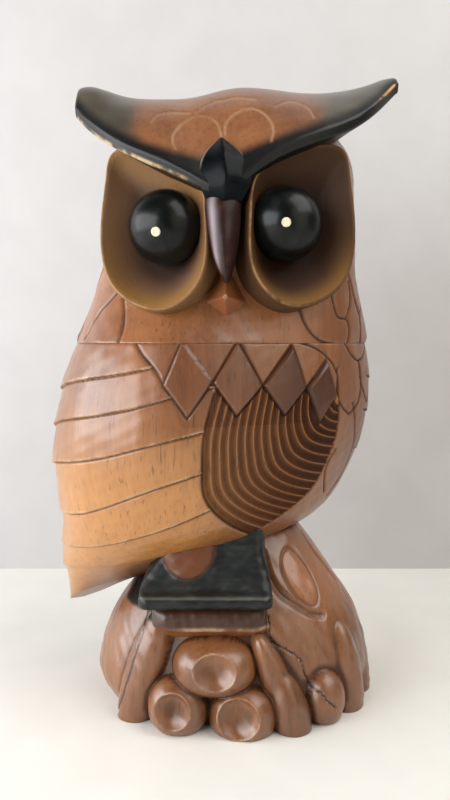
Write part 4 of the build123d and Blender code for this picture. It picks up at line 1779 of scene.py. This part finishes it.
@dataclass(frozen=True)
class StainedWood:
    """Stained, lacquered wood with upright grain, black dry-brushed paint and worn crests, with painted
    shade and painted highlights in its colour.
    """

    name: str
    light: Triple = (148, 94, 54)
    deep: Triple = (100, 57, 30)
    golden: Triple = (178, 121, 61)
    # dusky: painted shade on the body and head, the darker face of the ledge, and random darker scuffs
    dusky: Triple = (66, 34, 16)
    groove: Triple = (40, 21, 10)
    # ridge: a painted highlight on the crests of the flutes
    ridge: Triple = (160, 106, 54)
    # worn: wear on edges and lips, and on the brow's lower edge a painted highlight too
    worn: Triple = (206, 176, 140)
    black: Triple = (13, 15, 15)
    # The face discs: from their middle outwards, gilded, and in painted shade
    bowl_deep: Triple = (46, 31, 24)
    bowl_light: Triple = (112, 82, 60)
    bowl_gold: Triple = (146, 106, 52)
    bowl_shade: Triple = (34, 17, 10)
    # rim: a painted highlight on the front edge of the disc rims, on their left side
    rim: Triple = (168, 130, 88)
    chin: Triple = (128, 72, 40)
    # The brushed grey of the ear tufts
    grey_deep: Triple = (54, 55, 46)
    grey_light: Triple = (78, 76, 60)
    crack: Triple = (24, 16, 12)
    scratch: Triple = (168, 134, 96)
    pale: Triple = (216, 160, 96)
    gloss: float = 0.95

    def material(self) -> bpy.types.Material:
        """The finish as a material."""
        s = Shader(self.name)
        figure = s.noise(16, (1, 1, 0.16), 4, 0.6)
        blotch = s.noise(9, (1, 1, 0.7), 2, 0.5, 3.1)
        fibre = s.noise(240, (1, 1, 0.045), 3, 0.6)
        pores = s.noise(430, (1, 1, 0.06), 2, 0.5, 1.7).ramp(0.60, 0.74)
        fleck = s.noise(60, (1, 1, 0.9), 3, 0.6, 5.3)
        scuff = s.noise(34, (1, 1, 0.5), 5, 0.7, 8.2)
        stain = (figure * 0.6 + blotch * 0.5 + fibre * 0.35 - 0.22).ramp(0.25, 0.75)
        wood = s.mix(stain, colour(*self.deep), colour(*self.light))
        wood = s.mix((s.mask("gold") * 0.9 * (0.6 + fibre * 0.8)).clamp(), wood, colour(*self.golden))
        # the dark mask: painted shade on the body and head, away from the light; on the ledge it darkens
        # the upper face
        wood = s.mix((s.mask("dark") * (0.45 + blotch * 0.8)).clamp(), wood, colour(*self.dusky))
        wood = s.mix(scuff.ramp(0.56, 0.80) * 0.35, wood, colour(*self.dusky))
        # the crests of the flutes, the whole numbers of their count, get a painted highlight
        part = s.mask("flute").fraction()
        gap = part.smaller(1 - part)
        ridge = (gap * -1.0).ramp(-0.11, -0.01) * s.mask("panel")
        wood = s.mix(ridge * (0.35 + fleck * 0.7), wood, colour(*self.ridge))
        # face discs: olive gold at the rim, brown, and nearly black round the eye
        outwards = (s.mask("share") + blotch * 0.12).ramp(0.50, 0.90)
        bowl = s.mix(outwards, colour(*self.bowl_deep), colour(*self.bowl_light))
        bowl = s.mix((s.mask("gold") * (0.4 + fleck * 0.9)).clamp(), bowl, colour(*self.bowl_gold))
        # painted shade in the bowl of the right disc
        bowl = s.mix(s.mask("dark") * (1.1 - s.mask("gold") * 0.7), bowl, colour(*self.bowl_shade))
        wood = s.mix(s.mask("bowl"), wood, bowl)
        # painted highlight on the left of the rim's front edge
        wood = s.mix((s.mask("rim") * fleck.ramp(0.38, 0.6)) * 0.55, wood, colour(*self.rim))
        wood = s.mix(s.mask("chin") * 0.8, wood, colour(*self.chin))
        grey = s.mix(blotch.ramp(0.35, 0.65), colour(*self.grey_deep), colour(*self.grey_light))
        wood = s.mix((s.mask("tuft") + (fleck - 0.5) * 0.25).ramp(0.05, 0.95) * 0.92, wood, grey)
        paint = (s.mask("paint") + (blotch - 0.5) * 0.3 + (fleck - 0.5) * 0.2).ramp(0.16, 0.84)
        wood = s.mix(paint * s.mask("paint").ramp(0.0, 0.12), wood, colour(*self.black))
        # the cut mask: darkened chisel cuts, and painted shade in the flute channels and the hollows of the
        # rock
        wood = s.mix((s.mask("cut") * (0.55 + fleck * 0.6)).clamp(), wood, colour(*self.groove))
        wood = s.mix(s.mask("black"), wood, colour(*self.crack))
        wood = s.mix(pores * (1 - s.mask("bowl")) * 0.5, wood, colour(*self.groove))
        wood = s.mix((s.mask("scratch") * (scuff * 2.6 - 0.75)).clamp(), wood, colour(*self.scratch))
        # crest: wear, and on the brow's lower edge a painted highlight as well
        wear_and_highlight = (s.mask("crest") * (fleck.ramp(0.40, 0.62) * 1.1 + 0.12)).clamp()
        wood = s.mix(wear_and_highlight * 0.8, wood, colour(*self.worn))
        wood = s.mix(s.mask("pale") * fleck.ramp(0.4, 0.6), wood, colour(*self.pale))
        rough = 0.42 + figure * 0.16 + s.mask("cut") * 0.25
        # the lacquer is thin in the cuts, in the bowls, over the paint, on the flutes and where the dark
        # mask darkens the wood
        dull = s.mask("panel") * 0.3 + s.mask("dark") * 0.35
        bright = 1 - s.mask("cut") * 0.8 - s.mask("bowl") * 0.88 - paint * 0.7 - dull
        grain = fibre * 0.5 - pores * 0.9 + figure * 0.3
        return s.finish(
            Base_Color=wood,
            Roughness=rough.clamp(),
            Coat_Weight=(bright * self.gloss).clamp(),
            Coat_Roughness=0.31,
            Coat_IOR=1.65,
            Specular_IOR_Level=0.12,
            Normal=s.bump(grain, 0.3, 0.0008),
        )


@dataclass(frozen=True)
class BlackPaint:
    """Black, faintly green paint, glossy and brushed, worn to wood on its edges, with painted highlights
    where a piece marks them.
    """

    name: str
    body: Triple = (14, 17, 17)
    faded: Triple = (40, 44, 42)
    worn: Triple = (128, 124, 112)
    wood: Triple = (98, 56, 32)
    # the painted highlight down the beak's flank
    sheen: Triple = (150, 136, 140)
    roughness: float = 0.30
    coat: float = 0.1
    specular: float = 0.3

    def material(self) -> bpy.types.Material:
        """The finish as a material."""
        s = Shader(self.name)
        cloud = s.noise(26, (1, 1, 1), 3, 0.6)
        brushed = s.noise(150, (0.25, 1, 1), 3, 0.6, 2.2)
        fleck = s.noise(320, (1, 1, 1), 2, 0.6, 4.0)
        base = s.mix((cloud * 0.7 + brushed * 0.5).ramp(0.5, 0.85), colour(*self.body), colour(*self.faded))
        bare = (s.mask("bare") * (0.8 + cloud * 0.5)).clamp()
        base = s.mix(bare, base, colour(*self.wood))
        # crest: paint worn off the edges of the boss, and a painted highlight along the top of the feet
        wear_and_highlight = s.mask("crest") * (cloud * 1.3 + fleck * 0.2).clamp()
        base = s.mix(wear_and_highlight, base, colour(*self.worn))
        # painted highlight down the flank of the beak
        base = s.mix(s.mask("sheen") * (0.5 + cloud * 0.7), base, colour(*self.sheen))
        return s.finish(
            Base_Color=base,
            Roughness=(self.roughness + brushed * 0.25).clamp(),
            Coat_Weight=self.coat,
            Coat_Roughness=0.15,
            Specular_IOR_Level=self.specular,
            Normal=s.bump(brushed * 0.6 + fleck * 0.2, 0.25, 0.0006),
        )


@dataclass(frozen=True)
class EyeGloss:
    """Deep black lacquer of the eyeballs, with a faint bloom of dust."""

    name: str
    body: Triple = (6, 9, 9)
    bloom: Triple = (24, 29, 26)
    dust: Triple = (74, 80, 74)

    def material(self) -> bpy.types.Material:
        """The finish as a material."""
        s = Shader(self.name)
        cloud = s.noise(48, (1, 1, 1), 4, 0.65)
        dust = s.noise(700, (1, 1, 1), 2, 0.6, 1.3)
        base = s.mix(cloud.ramp(0.46, 0.78), colour(*self.body), colour(*self.bloom))
        base = s.mix(dust.ramp(0.66, 0.8) * 0.4, base, colour(*self.dust))
        return s.finish(
            Base_Color=base,
            Roughness=(0.26 + cloud * 0.16).clamp(),
            Coat_Weight=0.22,
            Coat_Roughness=0.2,
            Specular_IOR_Level=0.14,
            Normal=s.bump(cloud * 0.5 + dust * 0.1, 0.12, 0.0008),
        )


@dataclass(frozen=True)
class PlainWood:
    """Wood or paint of a small hidden or plain piece, with fine upright grain."""

    name: str
    light: Triple
    deep: Triple
    roughness: float = 0.5

    def material(self) -> bpy.types.Material:
        """The finish as a material."""
        s = Shader(self.name)
        grain = s.noise(420, (1, 1, 0.12), 3, 0.6)
        base = s.mix(grain.ramp(0.35, 0.7), colour(*self.deep), colour(*self.light))
        return s.finish(
            Base_Color=base,
            Roughness=(self.roughness + grain * 0.1).clamp(),
            Normal=s.bump(grain, 0.2, 0.0003),
        )


# ---- studio -----------------------------------------------------------------------------------
@dataclass(frozen=True)
class Studio:
    """Pale table and wall, one broad window light, soft fill, and the camera."""

    wall_y: float = 0.36
    reach: float = 3.0  # half the width of the table and the wall, and the height of the wall
    owl_middle: Triple = (0.0, 0.0, 0.30)
    camera_place: Triple = (-0.011, -0.710, 0.357)
    camera_pitch: float = 85.3
    lens: float = 31.0

    def pale(self, name: str, shade: Triple) -> bpy.types.Material:
        """A matt pale surface with a faint mottle, which isn't there when it is looked at from behind."""
        s = Shader(name)
        mottle = s.noise(14, (1, 1, 1), 3, 0.5)
        lighter = tuple(min(255.0, c + 4) for c in shade)
        behind = s.node("ShaderNodeNewGeometry", {}, {}, "Backfacing")
        base = s.mix(mottle.ramp(0.3, 0.7), colour(*shade), colour(*lighter))
        return s.finish(Base_Color=base, Roughness=0.6, Alpha=1 - behind)

    def sheet(self, name: str, corners: list[Triple], finish: bpy.types.Material) -> None:
        """Makes one flat sheet of the set, which is no part of the owl.

        Args:
            name: its name.
            corners: its four corners in order, in metres.
            finish: its material.
        """
        mesh = bpy.data.meshes.new(name)
        mesh.from_pydata(corners, [], [(0, 1, 2, 3)])
        mesh.materials.append(finish)
        piece = bpy.data.objects.new(name, mesh)
        bpy.context.scene.collection.objects.link(piece)

    def lamp(self, name: str, place: Triple, size: Point, power: float, tint: Triple) -> None:
        """Makes a soft light that faces the middle of the owl.

        Args:
            name: its name.
            place: where it hangs, in metres.
            size: its width and height, in metres.
            power: its power in watts.
            tint: its colour.
        """
        data = bpy.data.lights.new(name, "AREA")
        data.shape = "RECTANGLE"
        data.size, data.size_y = size
        data.energy = power
        data.color = tint
        lamp = bpy.data.objects.new(name, data)
        lamp.location = place
        aim = np.array(self.owl_middle) - np.array(place)
        yaw = math.atan2(aim[0], aim[1])
        tilt = math.atan2(math.hypot(aim[0], aim[1]), -aim[2])
        lamp.rotation_euler = (tilt, 0.0, -yaw)
        bpy.context.scene.collection.objects.link(lamp)

    def build(self) -> None:
        """Builds the set, lights, world and camera."""
        table = self.pale("pale_table", (230, 229, 223))
        wall = self.pale("pale_wall", (190, 188, 188))
        far, back = self.reach, self.wall_y
        self.sheet("table", [(-far, -far, 0), (far, -far, 0), (far, far, 0), (-far, far, 0)], table)
        self.sheet("wall", [(-far, back, 0), (far, back, 0), (far, back, far), (-far, back, far)], wall)
        self.lamp("window", (-1.55, -0.85, 0.75), (2.6, 1.2), 62.0, (0.96, 0.98, 1.0))
        self.lamp("fill", (1.3, -1.4, 0.9), (1.6, 1.6), 8.0, (1.0, 0.88, 0.74))
        self.lamp("above", (1.0, -0.5, 1.7), (1.4, 1.4), 22.0, (1.0, 0.98, 0.94))
        world = bpy.data.worlds.new("room")
        world.use_nodes = True
        world.node_tree.nodes["Background"].inputs["Color"].default_value = (1.0, 0.97, 0.93, 1.0)
        world.node_tree.nodes["Background"].inputs["Strength"].default_value = 0.12
        bpy.context.scene.world = world
        data = bpy.data.cameras.new("camera")
        data.lens = self.lens
        data.sensor_width = 36.0
        data.clip_start = 0.01
        camera = bpy.data.objects.new("camera", data)
        camera.location = self.camera_place
        camera.rotation_euler = (math.radians(self.camera_pitch), 0.0, 0.0)
        bpy.context.scene.collection.objects.link(camera)
        bpy.context.scene.camera = camera
        bpy.context.scene.view_settings.view_transform = "Standard"


def dress(frame: dict, node: str, finish: bpy.types.Material) -> None:
    """Gives a block of the frame, which keeps its own shape, its finish.

    Args:
        node: name of the block.
        finish: its material.
    """
    piece = frame["nodes"][node]
    piece.data.materials.clear()
    piece.data.materials.append(finish)
    LOG.info("%s: kept, in %s", node, finish.name)


def main() -> None:
    """Builds the owl in order: body, head, boss, beak, feet and rock, then finishes the eyes, pegs and
    dowels, then the studio.
    """
    logging.basicConfig(level=logging.INFO, format="%(name)s %(message)s")
    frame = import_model()
    wood = StainedWood("stained_wood").material()
    rock = StainedWood(
        "rock_wood", light=(138, 88, 50), deep=(98, 58, 32), golden=(168, 100, 46)
    ).material()
    feet = BlackPaint("feet_paint").material()
    boss = BlackPaint(
        "boss_paint", body=(7, 10, 13), faded=(20, 25, 30), roughness=0.2, coat=0.03, specular=0.06
    ).material()
    beak = BlackPaint(
        "beak_paint", body=(36, 19, 18), faded=(58, 34, 31), coat=0.04, specular=0.14
    ).material()
    eye = EyeGloss("eye_gloss").material()
    pupil = PlainWood("pupil_cream", (232, 222, 196), (204, 190, 158), 0.55).material()
    bare = PlainWood("bare_wood", (206, 170, 124), (178, 138, 92), 0.6).material()
    Body().build(wood)
    Head().build(wood)
    Boss().build(boss)
    Beak().build(beak)
    Feet().build(feet)
    Rock().build(rock)
    for side in ("left", "right"):
        dress(frame, f"{side}_eye", eye)
        dress(frame, f"{side}_pupil_peg", pupil)
    for node in ("neck_dowels", "leg_dowels", "base_dowels", "head_plank_dowels", "wing_plank_dowels"):
        dress(frame, node, bare)
    Studio().build()


if __name__ == "__main__":
    main()
